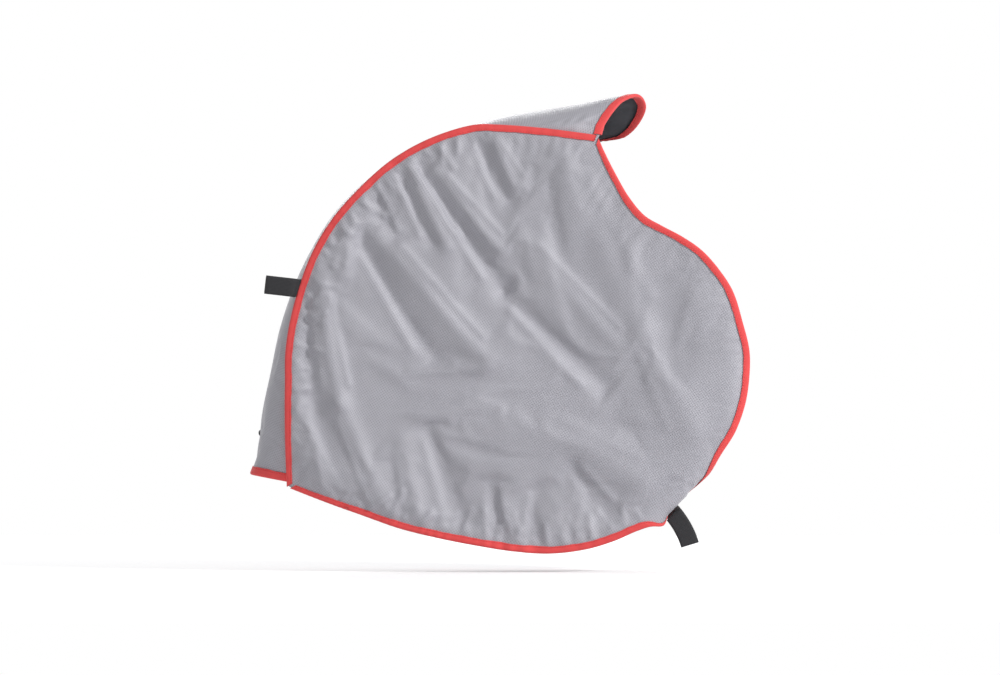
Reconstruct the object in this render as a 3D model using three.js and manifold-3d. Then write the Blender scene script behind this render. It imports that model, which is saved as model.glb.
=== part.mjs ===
// Motorcycle tire warmer in the form it takes on a front wheel, in millimetres.
// The origin is the wheel's centre, the axle lies along Y, and the front panel faces -Y.
import * as THREE from 'three';
import { mergeVertices } from 'three/addons/utils/BufferGeometryUtils.js';
import Module from 'manifold-3d';

const wasm = await Module();
wasm.setup();

// The tyre that the warmer is cut for
const tyreRadius = 300;
const sidewallHalfDepth = 62;
const hubSag = 5;
const sagReachShare = 0.85;

// Cloth, tape and webbing
const clothThickness = 0.9;
const waddingThickness = 3;
const matThickness = 0.8;
const wireThickness = 1;
const wireWidth = 2.4;
const liningThickness = 0.7;
const elasticThickness = 1;
const tapeThickness = 0.8;
const hemTapeDepth = 6;
const seamTapeDepth = 7.4;
const seamAllowance = 9.8;
const mouthTapeDepth = 9.5;
const mouthTapeClear = 0.3;
const seamStandOff = 5;
const layerGap = 0.3;
const tapeGap = 0.6;
const foldGap = 0.9;
const wireGap = 0.6;
const liningGap = 1.5;
const seatGap = 0.35;

// Webbing pull loop and strap
const webbingWidth = 25;
const webbingThickness = 1.6;
const loopAngle = 164;
const loopTilt = 173.5;
const loopReach = 45;
const loopHalfGap = 3;
const loopOpening = 9;
const loopNoseSteps = 4;
const strapAngle = -45.9;
const strapFreeLength = 46;
const strapStartTilt = -51;
const strapEndTilt = -73;
const strapBend = 4;
const strapSteps = 4;
const hookPadLength = 22;
const hookPadInset = 2;
const padThickness = 1.2;
const loopPadAngles = [-52, -38];
const loopPadReach = [205, 245];
const loopPadGap = 0.9;
const loopPadCells = 3;

// Shoulder of the panels: they stay flat up to it, then turn over towards the tread
const shoulderStart = 28;
const shoulderArc = 60;
const openTurn = 20;
const tuckTurn = 105;
const tuckRise = [-20, -40];
const tuckFall = [-46.5, -55];
const profileSteps = 24;

// Heating layers, thermostat and lead gland, placed by band row and column
const layerMargin = 2;
const wireLanes = [2.3, 3, 3.7];
const wireMargins = [4, 5];
const thermostatSize = [22, 12, 2.2];
const thermostatRow = 5;
const thermostatColumn = 5;
const thermostatCorner = 3;
const windowMargin = 1;
const glandBoreRadius = 3.2;
const glandShankRadius = 5;
const glandFlangeRadius = 9;
const glandFlangeThickness = 2;
const glandFlangeDome = 0.8;
const glandNoseLength = 20;
const glandNoseWalls = [3.2, 1.3];
const glandFacets = 14;
const glandRow = 2;
const glandColumn = 6;
const glandHoleClearance = 0.6;

// Sampling of the curved sheets
const seamSteps = 26;
const frontHemSteps = 46;
const backHemSteps = 38;
const tuckFiner = 2;
const finerAngles = [-40.5, -57];
const frontRows = [0.14, 0.28, 0.41, 0.53, 0.64, 0.74, 0.83, 0.91];
const backRows = [0.26, 0.52, 0.77];
const archSteps = 6;

// Outlines by clock angle in degrees and stand-off from the tyre's radius
const seamOutline = [
  [211, 60], [205, 41], [197, 23], [188, 11], [180, 7], [169, 2], [155, 1], [144, 1], [132, 1],
  [122, 4], [111, 6], [100, 7], [94, 3], [83, 0], [75, 3], [69, 9],
];
const hemOutline = [
  [69, 9], [66, -7], [60, -29], [53, -45], [46, -50], [40, -42], [34, -29], [28, -16], [21, -5],
  [15, 3], [7, 8], [0, 15], [-6, 17], [-13, 18], [-20, 16], [-28, 12], [-35, 24], [-41, 38],
  [-46, 38], [-49, 22], [-52, 0], [-56, -8], [-62, -12], [-70, -17], [-80, -24], [-90, -31],
  [-100, -34], [-112, -29], [-123, -16], [-134, 4], [-143, 33], [-149, 60],
];
const crestOutline = [
  [205, 94], [202, 76], [194, 53], [185, 32], [175, 20], [165, 12], [155, 8], [140, 7], [120, 7],
  [108, 8], [101, 10], [94, 16], [84, 27], [75, 46], [67, 75], [64, 86],
];
// The free edge of the upper mouth from the front seam over the crest to the back seam
const upperMouthEdge = [
  [69.0, 6, -52], [68.3, 36, -46], [66.7, 68, -29], [64.1, 84, -7], [61.8, 74, 15], [61.9, 40, 36],
  [66.0, 4, 52],
];
const mouthBlend = 120;

// Folds: clock angle and share of the tyre's radius at both ends, half width and height in mm
const folds = [
  { from: [139, 0.79], to: [-156, 0.13], halfWidth: 14, height: 6 },
  { from: [144, 0.86], to: [-176, 0.36], halfWidth: 15, height: -7 },
  { from: [114, 0.88], to: [97, 0.45], halfWidth: 12, height: 6 },
  { from: [117, 0.94], to: [99, 0.29], halfWidth: 13, height: -7 },
  { from: [87, 0.51], to: [-1, 0.49], halfWidth: 15, height: 5 },
  { from: [99, 0.27], to: [-21, 0.43], halfWidth: 16, height: -7 },
  { from: [96, 0.95], to: [89, 0.74], halfWidth: 11, height: 4 },
  { from: [101, 0.97], to: [92, 0.68], halfWidth: 12, height: -6 },
  { from: [120, 0.96], to: [123, 0.56], halfWidth: 10, height: 4 },
  { from: [123, 0.98], to: [127, 0.61], halfWidth: 10, height: -6 },
  { from: [131, 0.96], to: [138, 0.75], halfWidth: 11, height: -5 },
  { from: [142, 0.92], to: [156, 0.84], halfWidth: 12, height: 5 },
  { from: [161, 0.92], to: [-163, 0.82], halfWidth: 13, height: 6 },
  { from: [-163, 0.82], to: [-129, 0.92], halfWidth: 13, height: 6 },
  { from: [167, 0.98], to: [-166, 0.94], halfWidth: 14, height: -5 },
  { from: [-166, 0.94], to: [-140, 1.02], halfWidth: 14, height: -5 },
  { from: [76, 0.89], to: [9, 0.58], halfWidth: 24, height: 5 },
  { from: [9, 0.58], to: [-24, 0.87], halfWidth: 22, height: 5 },
  { from: [-66, 0.35], to: [-46, 0.82], halfWidth: 20, height: 4 },
  { from: [-137, 0.53], to: [-108, 0.79], halfWidth: 15, height: -5 },
  { from: [-100, 0.6], to: [-95, 0.84], halfWidth: 13, height: -5 },
  { from: [-81, 0.64], to: [-84, 0.86], halfWidth: 13, height: -5 },
  { from: [-64, 0.59], to: [-61, 0.84], halfWidth: 14, height: -6 },
  { from: [-141, 0.65], to: [-120, 0.86], halfWidth: 13, height: 4 },
];
const backFoldShare = 0.5;
// Tension of the seam and hem flattens the folds near the panel's edge
const edgeCalm = 0.7;
const calmWidth = 30;

const materials = {
  nylon: new THREE.MeshStandardMaterial({ color: 0xb2b1b9, roughness: 0.55, metalness: 0 }),
  lining: new THREE.MeshStandardMaterial({ color: 0x47484d, roughness: 0.85, metalness: 0 }),
  redTape: new THREE.MeshStandardMaterial({ color: 0xee4b4b, roughness: 0.7, metalness: 0 }),
  webbing: new THREE.MeshStandardMaterial({ color: 0x2e2e31, roughness: 0.85, metalness: 0 }),
  elastic: new THREE.MeshStandardMaterial({ color: 0xe8e6e0, roughness: 0.8, metalness: 0 }),
  felt: new THREE.MeshStandardMaterial({ color: 0xd9d5cb, roughness: 0.95, metalness: 0 }),
  mat: new THREE.MeshStandardMaterial({ color: 0xb5532f, roughness: 0.6, metalness: 0 }),
  wire: new THREE.MeshStandardMaterial({ color: 0x3b3b3f, roughness: 0.5, metalness: 0 }),
  switchCase: new THREE.MeshStandardMaterial({ color: 0x2b2b2e, roughness: 0.45, metalness: 0 }),
  rubber: new THREE.MeshStandardMaterial({ color: 0x1d1d1f, roughness: 0.7, metalness: 0 }),
};

const warmer = new THREE.Group();
const FRONT = -1;
const BACK = 1;

// Small helpers for angles, steps and blends
const radians = THREE.MathUtils.degToRad;
const smooth = (value, low, high) => {
  const share = THREE.MathUtils.clamp((value - low) / (high - low), 0, 1);
  return share * share * (3 - 2 * share);
};
const onWheel = (angle, radius, y = 0) => new THREE.Vector3(
  radius * Math.cos(radians(angle)), y, radius * Math.sin(radians(angle)));
const along = (point, direction, distance) => point.clone().addScaledVector(direction, distance);

function outlineCurve(outline) {
  const points = outline.map(([angle, standOff]) => onWheel(angle, tyreRadius + standOff));
  return new THREE.CatmullRomCurve3(points, false, 'centripetal');
}

// How far the panel turns over the tyre's shoulder at one clock angle, in degrees
function turnAt(angle) {
  const tuck = smooth(-angle, -tuckRise[0], -tuckRise[1]) * (1 - smooth(-angle, -tuckFall[0], -tuckFall[1]));
  return openTurn + (tuckTurn - openTurn) * tuck;
}

// Radius and depth of the worn panel at a flat reach from the axle
function shoulderProfile(angle, reach) {
  const start = tyreRadius - shoulderStart;
  const sag = hubSag * Math.max(0, 1 - (reach / (tyreRadius * sagReachShare)) ** 2);
  if (reach <= start) {
    return [reach, sidewallHalfDepth - sag];
  }
  const turn = radians(turnAt(angle));
  const step = (reach - start) / profileSteps;
  let radius = start;
  let depth = sidewallHalfDepth - sag;
  for (let index = 0; index < profileSteps; index += 1) {
    const lean = turn * smooth((index + 0.5) * step, 0, shoulderArc);
    radius += step * Math.cos(lean);
    depth -= step * Math.sin(lean);
  }
  return [radius, depth];
}

function foldHeight(angle, reach) {
  const here = onWheel(angle, reach);
  let height = 0;
  for (const fold of folds) {
    const start = onWheel(fold.from[0], fold.from[1] * tyreRadius);
    const end = onWheel(fold.to[0], fold.to[1] * tyreRadius);
    const line = new THREE.Line3(start, end);
    const share = line.closestPointToPointParameter(here, true);
    const nearest = line.at(share, new THREE.Vector3());
    const distance = nearest.distanceTo(here) / fold.halfWidth;
    height += fold.height * Math.exp(-distance * distance);
  }
  return height * (1 - edgeCalm * smooth(reach, tyreRadius - calmWidth, tyreRadius));
}

// One point of a side panel's middle surface
function panelPoint(side, angle, reach) {
  const [radius, depth] = shoulderProfile(angle, reach);
  const share = side === FRONT ? 1 : backFoldShare;
  const height = foldHeight(angle, reach) * share;
  return onWheel(angle, radius, side * (depth + height));
}

function panelNormal(side, angle, reach) {
  const nudge = 0.5;
  const turnNudge = THREE.MathUtils.radToDeg(nudge / Math.max(reach, 1));
  const outward = panelPoint(side, angle, reach + nudge).sub(panelPoint(side, angle, reach - nudge));
  const around = panelPoint(side, angle + turnNudge, reach).sub(panelPoint(side, angle - turnNudge, reach));
  const normal = outward.cross(around).normalize();
  return side === FRONT ? normal : normal.negate();
}

// A closed shell from a middle surface, with an outward vector at each vertex
function shell(points, outs, faces, up, down) {
  const count = points.length;
  const vertices = [
    ...points.map((point, index) => along(point, outs[index], up)),
    ...points.map((point, index) => along(point, outs[index], down)),
  ];
  const directed = new Set(faces.flatMap(([a, b, c]) => [`${a},${b}`, `${b},${c}`, `${c},${a}`]));
  const triangles = faces.flatMap(([a, b, c]) => [[a, b, c], [a + count, c + count, b + count]]);
  for (const edge of directed) {
    const [a, b] = edge.split(',').map(Number);
    if (!directed.has(`${b},${a}`)) {
      triangles.push([b, a, a + count], [b, a + count, b + count]);
    }
  }
  return closedGeometry(vertices, triangles);
}

function closedGeometry(vertices, triangles) {
  let volume = 0;
  for (const [a, b, c] of triangles) {
    volume += vertices[a].dot(vertices[b].clone().cross(vertices[c]));
  }
  const ordered = volume < 0 ? triangles.map(([a, b, c]) => [a, c, b]) : triangles;
  const geometry = new THREE.BufferGeometry();
  geometry.setAttribute('position', new THREE.Float32BufferAttribute(vertices.flatMap((v) => v.toArray()), 3));
  geometry.setIndex(ordered.flat());
  return geometry;
}

// Faces of a grid of rows; the columns in turned are split along the other diagonal
function gridFaces(rows, columns, turned = []) {
  const faces = [];
  for (let row = 0; row + 1 < rows; row += 1) {
    for (let column = 0; column + 1 < columns; column += 1) {
      const a = row * columns + column;
      const [b, c, d] = [a + 1, a + columns + 1, a + columns];
      faces.push(...(turned.includes(column) ? [[a, b, d], [b, c, d]] : [[a, b, c], [a, c, d]]));
    }
  }
  return faces;
}

// A strip of cloth from rows of stations, each station a point and its outward vector
function strip(rows, up, down, turned = []) {
  const stations = rows.flat();
  return shell(
    stations.map((station) => station.point), stations.map((station) => station.out),
    gridFaces(rows.length, rows[0].length, turned), up, down);
}

function addPiece(name, geometry, material) {
  const mesh = new THREE.Mesh(geometry, material);
  mesh.name = name;
  warmer.add(mesh);
  return mesh;
}

// Booleans on closed meshes
function toSolid(geometry) {
  const bare = geometry.clone();
  bare.deleteAttribute('normal');
  bare.deleteAttribute('uv');
  const merged = mergeVertices(bare, 1e-4);
  return new wasm.Manifold(new wasm.Mesh({
    numProp: 3,
    vertProperties: Float32Array.from(merged.attributes.position.array),
    triVerts: Uint32Array.from(merged.index.array),
  }));
}

function cutAway(geometry, tools) {
  let solid = toSolid(geometry);
  for (const tool of tools) {
    solid = solid.subtract(toSolid(tool));
  }
  const result = solid.getMesh();
  const cut = new THREE.BufferGeometry();
  cut.setAttribute('position', new THREE.BufferAttribute(Float32Array.from(result.vertProperties), 3));
  cut.setIndex(new THREE.BufferAttribute(Uint32Array.from(result.triVerts), 1));
  return cut;
}

// Rim stations: clock angle and reach of each cut edge point, with the depth of its tape
function rimStations(side) {
  const seam = outlineCurve(seamOutline);
  const hem = outlineCurve(hemOutline);
  const mouthShare = mouthTapeDepth / seam.getLength();
  const seamShares = [0, mouthShare];
  for (let step = 1; step < seamSteps - 2; step += 1) {
    seamShares.push(mouthShare + (1 - 2 * mouthShare) * step / (seamSteps - 2));
  }
  seamShares.push(1 - mouthShare, 1);
  const hemSteps = side === FRONT ? frontHemSteps : backHemSteps;
  const toStation = (point, depth) => ({
    angle: THREE.MathUtils.radToDeg(Math.atan2(point.z, point.x)),
    reach: Math.hypot(point.x, point.z),
    depth,
  });
  const seamRim = seamShares.map((share) => toStation(seam.getPointAt(share), seamAllowance));
  const hemRim = hemShares(hem, hemSteps).map((share) => toStation(hem.getPointAt(share), hemTapeDepth));
  return { seamRim, hemRim };
}

// Even steps along the hem, and finer ones where it comes out of the tuck
function hemShares(hem, steps) {
  const shares = [];
  for (let step = 1; step < steps; step += 1) {
    const { x, z } = hem.getPointAt((step + 0.5) / steps);
    const angle = THREE.MathUtils.radToDeg(Math.atan2(z, x));
    const finer = angle < finerAngles[0] && angle > finerAngles[1] ? tuckFiner : 1;
    for (let part = 0; part < finer; part += 1) {
      shares.push((step + part / finer) / steps);
    }
  }
  return shares;
}

function mixStations(a, b, share) {
  return { point: a.point.clone().lerp(b.point, share), out: a.out.clone().lerp(b.out, share) };
}

function station(side, angle, reach) {
  return { point: panelPoint(side, angle, reach), out: panelNormal(side, angle, reach) };
}

// Side panel: a fan of rays from the axle, with a last row exactly as wide as the edge tape
function sidePanel(side) {
  const { seamRim, hemRim } = rimStations(side);
  const rim = [...seamRim, ...hemRim];
  const shares = side === FRONT ? frontRows : backRows;
  const middle = station(side, 0, 1);
  const stations = [{ point: new THREE.Vector3(0, middle.point.y, 0), out: new THREE.Vector3(0, side, 0) }];
  for (const { angle, reach, depth } of rim) {
    const inner = reach - depth;
    stations.push(...shares.map((share) => station(side, angle, share * inner)));
    stations.push(station(side, angle, inner), station(side, angle, reach));
  }
  const rowsPerRay = shares.length + 2;
  const faces = [];
  rim.forEach((_, ray) => {
    const next = (ray + 1) % rim.length;
    const here = 1 + ray * rowsPerRay;
    const there = 1 + next * rowsPerRay;
    faces.push([0, here, there]);
    for (let row = 0; row + 1 < rowsPerRay; row += 1) {
      faces.push([here + row, here + row + 1, there + row + 1], [here + row, there + row + 1, there + row]);
    }
  });
  return shell(
    stations.map((s) => s.point), stations.map((s) => s.out), faces, clothThickness / 2, -clothThickness / 2);
}

// Edge tape folded round the cloth: two legs joined by the fold, a little way beyond the edge
function foldedTape(edges, frontOffset, backOffset, turned = [1, 2]) {
  return strip(edges.map(({ edge, inner }) => {
    const beyond = edge.point.clone().sub(inner.point).normalize();
    const fold = foldGap + tapeThickness / 2;
    const frontFold = along(along(edge.point, edge.out, frontOffset), beyond, fold);
    const backFold = along(along(edge.point, edge.out, -backOffset), beyond, fold);
    return [
      { point: along(inner.point, inner.out, frontOffset), out: inner.out },
      { point: frontFold, out: edge.out.clone().add(beyond) },
      { point: backFold, out: beyond.clone().sub(edge.out) },
      { point: along(inner.point, inner.out, -backOffset), out: inner.out.clone().negate() },
    ];
  }), tapeThickness / 2, -tapeThickness / 2, turned);
}

// Shortens a run of stations by a small clearance at both ends
function trimmedEnds(edges, clearance) {
  const blend = (a, b) => {
    const share = clearance / a.edge.point.distanceTo(b.edge.point);
    return { edge: mixStations(a.edge, b.edge, share), inner: mixStations(a.inner, b.inner, share) };
  };
  const last = edges.length - 1;
  return [blend(edges[0], edges[1]), ...edges.slice(1, last), blend(edges[last], edges[last - 1])];
}

function hemEdges(side) {
  const { seamRim, hemRim } = rimStations(side);
  const corners = [seamRim[seamRim.length - 1], seamRim[0]];
  return [corners[0], ...hemRim, corners[1]].map(({ angle, reach }) => ({
    edge: station(side, angle, reach),
    inner: station(side, angle, reach - hemTapeDepth),
  }));
}

const cornerClearance = 5;
const tapeSlot = clothThickness / 2 + tapeGap;
const strapLift = tapeSlot + tapeThickness + 2.5 * seatGap + webbingThickness / 2;

function hemTape(side) {
  const backSlot = tapeSlot + elasticThickness + layerGap;
  return foldedTape(
    trimmedEnds(hemEdges(side), cornerClearance), tapeSlot + tapeThickness / 2, backSlot + tapeThickness / 2);
}

function hemElastic(side) {
  const rows = trimmedEnds(hemEdges(side), cornerClearance).map(({ edge, inner }) => [inner, edge]);
  const low = clothThickness / 2 + layerGap;
  return strip(rows, -low, -low - elasticThickness);
}

// Seam: the panel's edge and the band's turned-up allowance share one folded tape
const allowanceOffset = clothThickness + layerGap;

function seamEdges(side) {
  return rimStations(side).seamRim.map(({ angle, reach }) => {
    const edge = station(side, angle, reach);
    const root = station(side, angle, reach - seamAllowance);
    return { edge, root, inner: mixStations(edge, root, seamTapeDepth / seamAllowance) };
  });
}

function seamTape(side) {
  const frontOffset = tapeSlot + tapeThickness / 2;
  return foldedTape(trimmedEnds(seamEdges(side), seatGap), frontOffset, frontOffset + allowanceOffset);
}

// Middle surface of the band, one row for each rim station of the seam
function bandRows() {
  const front = seamEdges(FRONT);
  const back = seamEdges(BACK);
  const crest = outlineCurve(crestOutline);
  const lengths = [0];
  for (let row = 1; row < front.length; row += 1) {
    lengths.push(lengths[row - 1] + front[row].edge.point.distanceTo(front[row - 1].edge.point));
  }
  const total = lengths[lengths.length - 1];
  const mouth = upperMouthCurve();
  const rows = front.map((_, row) => {
    const [frontFoot, backFoot] = [front[row], back[row]].map(footOf);
    const top = crest.getPointAt(lengths[row] / total);
    const arch = archPoints(frontFoot.step, backFoot.step, top);
    return { frontFoot, backFoot, arch };
  });
  const shift = rows[rows.length - 1].arch.map((point, column) => (
    column % archSteps === 0 ? new THREE.Vector3() : mouth.getPoint(column / archSteps).sub(point)));
  rows.forEach(({ arch }, row) => {
    const share = 1 - smooth(total - lengths[row], 0, mouthBlend);
    arch.forEach((point, column) => point.addScaledVector(shift[column], share));
  });
  return settleMouthRows(rows);
}

function upperMouthCurve() {
  const points = upperMouthEdge.map(([angle, standOff, y]) => onWheel(angle, tyreRadius + standOff, y));
  return new THREE.CatmullRomCurve3(points, false, 'centripetal');
}

// The turned-up allowance behind the panel's edge, and the step that leads to the arch
function footOf({ edge, root }) {
  const beyond = edge.point.clone().sub(root.point).normalize();
  const tip = along(edge.point, edge.out, -allowanceOffset);
  const base = along(root.point, root.out, -allowanceOffset);
  return {
    tip: { point: tip, out: edge.out.clone().negate() },
    base: { point: base, out: beyond.clone().sub(root.out) },
    step: along(base, root.out, -seamStandOff),
  };
}

function archPoints(start, end, top) {
  const middle = start.clone().add(end).multiplyScalar(0.5);
  const rise = top.clone().sub(middle);
  rise.y = 0;
  const points = [];
  for (let column = 0; column <= archSteps; column += 1) {
    const turn = Math.PI * column / archSteps;
    points.push(along(start.clone().lerp(end, (1 - Math.cos(turn)) / 2), rise, Math.sin(turn)));
  }
  return points;
}

// Keeps the second and last but one rows exactly one tape's depth from the mouths
function settleMouthRows(rows) {
  const last = rows.length - 1;
  for (const [rim, inner] of [[0, 1], [last, last - 1]]) {
    rows[inner].arch.forEach((point, column) => {
      const edge = rows[rim].arch[column];
      const direction = point.clone().sub(edge).normalize();
      point.copy(along(edge, direction, mouthTapeDepth));
    });
  }
  return rows;
}

function bandStations() {
  const rows = bandRows();
  const outs = archNormals(rows.map(({ arch }) => arch));
  return rows.map(({ frontFoot, backFoot, arch }, row) => [
    frontFoot.tip, frontFoot.base,
    ...arch.map((point, column) => ({ point, out: outs[row][column] })),
    backFoot.base, backFoot.tip,
  ]);
}

function archNormals(arches) {
  return arches.map((arch, row) => arch.map((point, column) => {
    const before = arches[Math.max(row - 1, 0)][column];
    const after = arches[Math.min(row + 1, arches.length - 1)][column];
    const left = arch[Math.max(column - 1, 0)];
    const right = arch[Math.min(column + 1, arch.length - 1)];
    const normal = after.clone().sub(before).cross(right.clone().sub(left)).normalize();
    const outward = new THREE.Vector3(point.x, 0, point.z);
    return normal.dot(outward) < 0 ? normal.negate() : normal;
  }));
}

const band = bandStations();
const firstArch = 2;
const lastArch = firstArch + archSteps;

// A layer under the cover: the arch's rows and columns, moved inwards by a depth
function bandLayer(depth, thickness, columns, rowMargin) {
  const rows = band.slice(rowMargin, band.length - rowMargin);
  const picked = rows.map((row) => row.slice(columns[0], columns[1] + 1));
  return strip(picked, -depth, -depth - thickness);
}

const waddingDepth = clothThickness / 2 + layerGap;
const matDepth = waddingDepth + waddingThickness + layerGap;
const wireDepth = matDepth + matThickness + wireGap;
const liningDepth = wireDepth + wireThickness + liningGap;

// Lining: deep under the heating layers, and next to the cover in both mouths
function liningStrip() {
  const rows = band.map((row, index) => {
    const nearMouth = index < 2 || index > band.length - 3;
    const depth = nearMouth ? waddingDepth : liningDepth;
    return row.slice(firstArch, lastArch + 1).map(({ point, out }) => ({ point: along(point, out, -depth), out }));
  });
  return strip(rows, 0, -liningThickness);
}

// Heating wire: lanes along the band, joined in turn at its two ends
function heatingWire() {
  const lanes = wireLanes.map((lane) => firstArch + lane);
  const rows = band.slice(wireMargins[0], band.length - wireMargins[1]);
  const stations = lanes.flatMap((lane, index) => {
    const run = rows.map((row) => betweenColumns(row, lane));
    return index % 2 ? run.reverse() : run;
  });
  const edges = stations.map((here, index) => {
    const before = stations[Math.max(index - 1, 0)].point;
    const after = stations[Math.min(index + 1, stations.length - 1)].point;
    const sideways = after.clone().sub(before).cross(here.out).normalize();
    return [-wireWidth / 2, wireWidth / 2].map((shift) => (
      { point: along(here.point, sideways, shift), out: here.out }));
  });
  return strip(edges, -wireDepth, -wireDepth - wireThickness);
}

function betweenColumns(row, lane) {
  const column = Math.floor(lane);
  return mixStations(row[column], row[column + 1], lane - column);
}

// Mouth tape: folded over the band's end rows, a little clear of both seams
function mouthTape(rim, inner, turned) {
  const columns = [firstArch + mouthTapeClear];
  for (let column = firstArch + 1; column < lastArch; column += 1) {
    columns.push(column);
  }
  columns.push(lastArch - mouthTapeClear);
  const edges = columns.map((column) => ({
    edge: columnStation(band[rim], column),
    inner: columnStation(band[inner], column),
  }));
  const backSlot = tapeSlot + liningThickness + layerGap;
  return foldedTape(edges, tapeSlot + tapeThickness / 2, backSlot + tapeThickness / 2, turned);
}

function columnStation(row, column) {
  return Number.isInteger(column) ? row[column] : betweenColumns(row, column);
}

// Frame of a band cell or vertex: X along the band, Y across it, Z outwards
function bandFrame(point, out, tangent) {
  const across = out.clone().cross(tangent).normalize();
  const lengthwise = across.clone().cross(out).normalize();
  const frame = new THREE.Matrix4().makeBasis(lengthwise, across, out);
  return frame.setPosition(point);
}

function cellFrame(firstRow, firstColumn) {
  const corners = [0, 1].flatMap((row) => [0, 1].map((column) => band[firstRow + row][firstColumn + column]));
  const centre = corners.reduce((sum, corner) => sum.add(corner.point), new THREE.Vector3()).divideScalar(4);
  const [a, b, c, d] = corners.map((corner) => corner.point);
  const out = d.clone().sub(a).cross(c.clone().sub(b)).normalize();
  const facing = out.dot(corners[0].out) < 0 ? out.negate() : out;
  return bandFrame(centre, facing, c.clone().sub(a));
}

function roundedPlate([length, width, thickness], margin = 0) {
  const radius = thermostatCorner;
  const [halfLength, halfWidth] = [length / 2 + margin, width / 2 + margin];
  const shape = new THREE.Shape();
  shape.moveTo(-halfLength + radius, -halfWidth);
  shape.lineTo(halfLength - radius, -halfWidth);
  shape.absarc(halfLength - radius, -halfWidth + radius, radius, -Math.PI / 2, 0);
  shape.absarc(halfLength - radius, halfWidth - radius, radius, 0, Math.PI / 2);
  shape.absarc(-halfLength + radius, halfWidth - radius, radius, Math.PI / 2, Math.PI);
  shape.absarc(-halfLength + radius, -halfWidth + radius, radius, Math.PI, 1.5 * Math.PI);
  return new THREE.ExtrudeGeometry(shape, { depth: thickness, bevelEnabled: false, curveSegments: 2 });
}

function thermostat() {
  const depth = matDepth - layerGap - windowMargin / 2;
  return roundedPlate(thermostatSize).translate(0, 0, -depth).applyMatrix4(cellFrame(thermostatRow, thermostatColumn));
}

// Holes are cut by tools a good deal taller than all the layers together
const toolHeight = 5 * waddingThickness;

function thermostatWindow() {
  const tall = [thermostatSize[0], thermostatSize[1], toolHeight];
  return roundedPlate(tall, windowMargin).translate(0, 0, -toolHeight / 2)
    .applyMatrix4(cellFrame(thermostatRow, thermostatColumn));
}

// Lead gland: a rubber grommet through the cover and the wadding, with a tapered nose
function leadGland() {
  const flangeBottom = clothThickness / 2 + 2 * seatGap;
  const flangeTop = flangeBottom + glandFlangeThickness;
  const inside = -waddingDepth - waddingThickness;
  const [noseRoot, noseTip] = glandNoseWalls.map((wall) => glandBoreRadius + wall);
  const profile = [
    [glandBoreRadius, inside], [glandShankRadius, inside], [glandShankRadius, flangeBottom],
    [glandFlangeRadius, flangeBottom], [glandFlangeRadius, flangeTop], [noseRoot, flangeTop + glandFlangeDome],
    [noseTip, flangeTop + glandNoseLength], [glandBoreRadius, flangeTop + glandNoseLength],
    [glandBoreRadius, inside],
  ].map(([radius, height]) => new THREE.Vector2(radius, height));
  return new THREE.LatheGeometry(profile, glandFacets).rotateX(Math.PI / 2).applyMatrix4(cellFrame(glandRow, glandColumn));
}

function glandHole() {
  const radius = glandShankRadius + glandHoleClearance;
  return new THREE.CylinderGeometry(radius, radius, toolHeight, glandFacets)
    .rotateX(Math.PI / 2).applyMatrix4(cellFrame(glandRow, glandColumn));
}

// One row of a flat webbing: a centre, a width direction and a face normal
function webbingRow(centre, across, out, width, shares = [-0.5, 0.5]) {
  return shares.map((share) => ({ point: along(centre, across, share * width), out }));
}

// Pull loop: webbing doubled back on itself, both ends caught in the front seam
function pullLoop() {
  const rim = seamStationAt(loopAngle);
  const root = along(rim.point, rim.beyond, foldGap + tapeThickness + 1.5 * seatGap);
  const outward = onWheel(loopTilt, 1);
  const across = onWheel(loopTilt + 90, 1);
  const front = new THREE.Vector3(0, -1, 0);
  const middle = loopHalfGap + webbingThickness / 2;
  const rootHalf = webbingThickness / 2 + layerGap;
  const nose = loopReach - middle;
  const profile = [[0, rootHalf], [loopOpening, middle], [nose, middle]];
  for (let step = 1; step < loopNoseSteps; step += 1) {
    const turn = Math.PI / 2 - Math.PI * step / loopNoseSteps;
    profile.push([nose + middle * Math.cos(turn), middle * Math.sin(turn)]);
  }
  profile.push([nose, -middle], [loopOpening, -middle], [0, -rootHalf]);
  const centres = profile.map(([reach, lift]) => along(along(root, outward, reach), front, lift));
  const rows = centres.map((centre, index) => {
    const before = centres[Math.max(index - 1, 0)];
    const after = centres[Math.min(index + 1, centres.length - 1)];
    const sewn = index === 0 || index === centres.length - 1;
    const out = after.clone().sub(before).cross(across).normalize();
    return webbingRow(centre, sewn ? rim.seamLine.clone().negate() : across, out, webbingWidth);
  });
  return strip(rows, webbingThickness / 2, -webbingThickness / 2);
}

// Edge point of the front seam at a clock angle, and the direction that leads out of it
function seamStationAt(angle) {
  const rim = rimStations(FRONT).seamRim.map((entry) => ({ ...entry, angle: (entry.angle + 360) % 360 }));
  const after = rim.findIndex((entry) => entry.angle < angle);
  const [a, b] = [rim[after - 1], rim[after]];
  const share = (a.angle - angle) / (a.angle - b.angle);
  const reach = THREE.MathUtils.lerp(a.reach, b.reach, share);
  const edge = station(FRONT, angle, reach);
  const beyond = edge.point.clone().sub(station(FRONT, angle, reach - seamTapeDepth).point).normalize();
  const nextReach = THREE.MathUtils.lerp(a.reach, b.reach, share + 0.01);
  const seamLine = station(FRONT, angle - 0.01 * (a.angle - b.angle), nextReach).point.sub(edge.point);
  return { point: edge.point, beyond, seamLine: seamLine.setY(0).normalize() };
}

function hemReachAt(angle) {
  const rim = rimStations(FRONT).hemRim;
  const after = rim.findIndex((entry) => entry.angle < angle);
  const [a, b] = [rim[after - 1], rim[after]];
  return THREE.MathUtils.lerp(a.reach, b.reach, (a.angle - angle) / (a.angle - b.angle));
}

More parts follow.
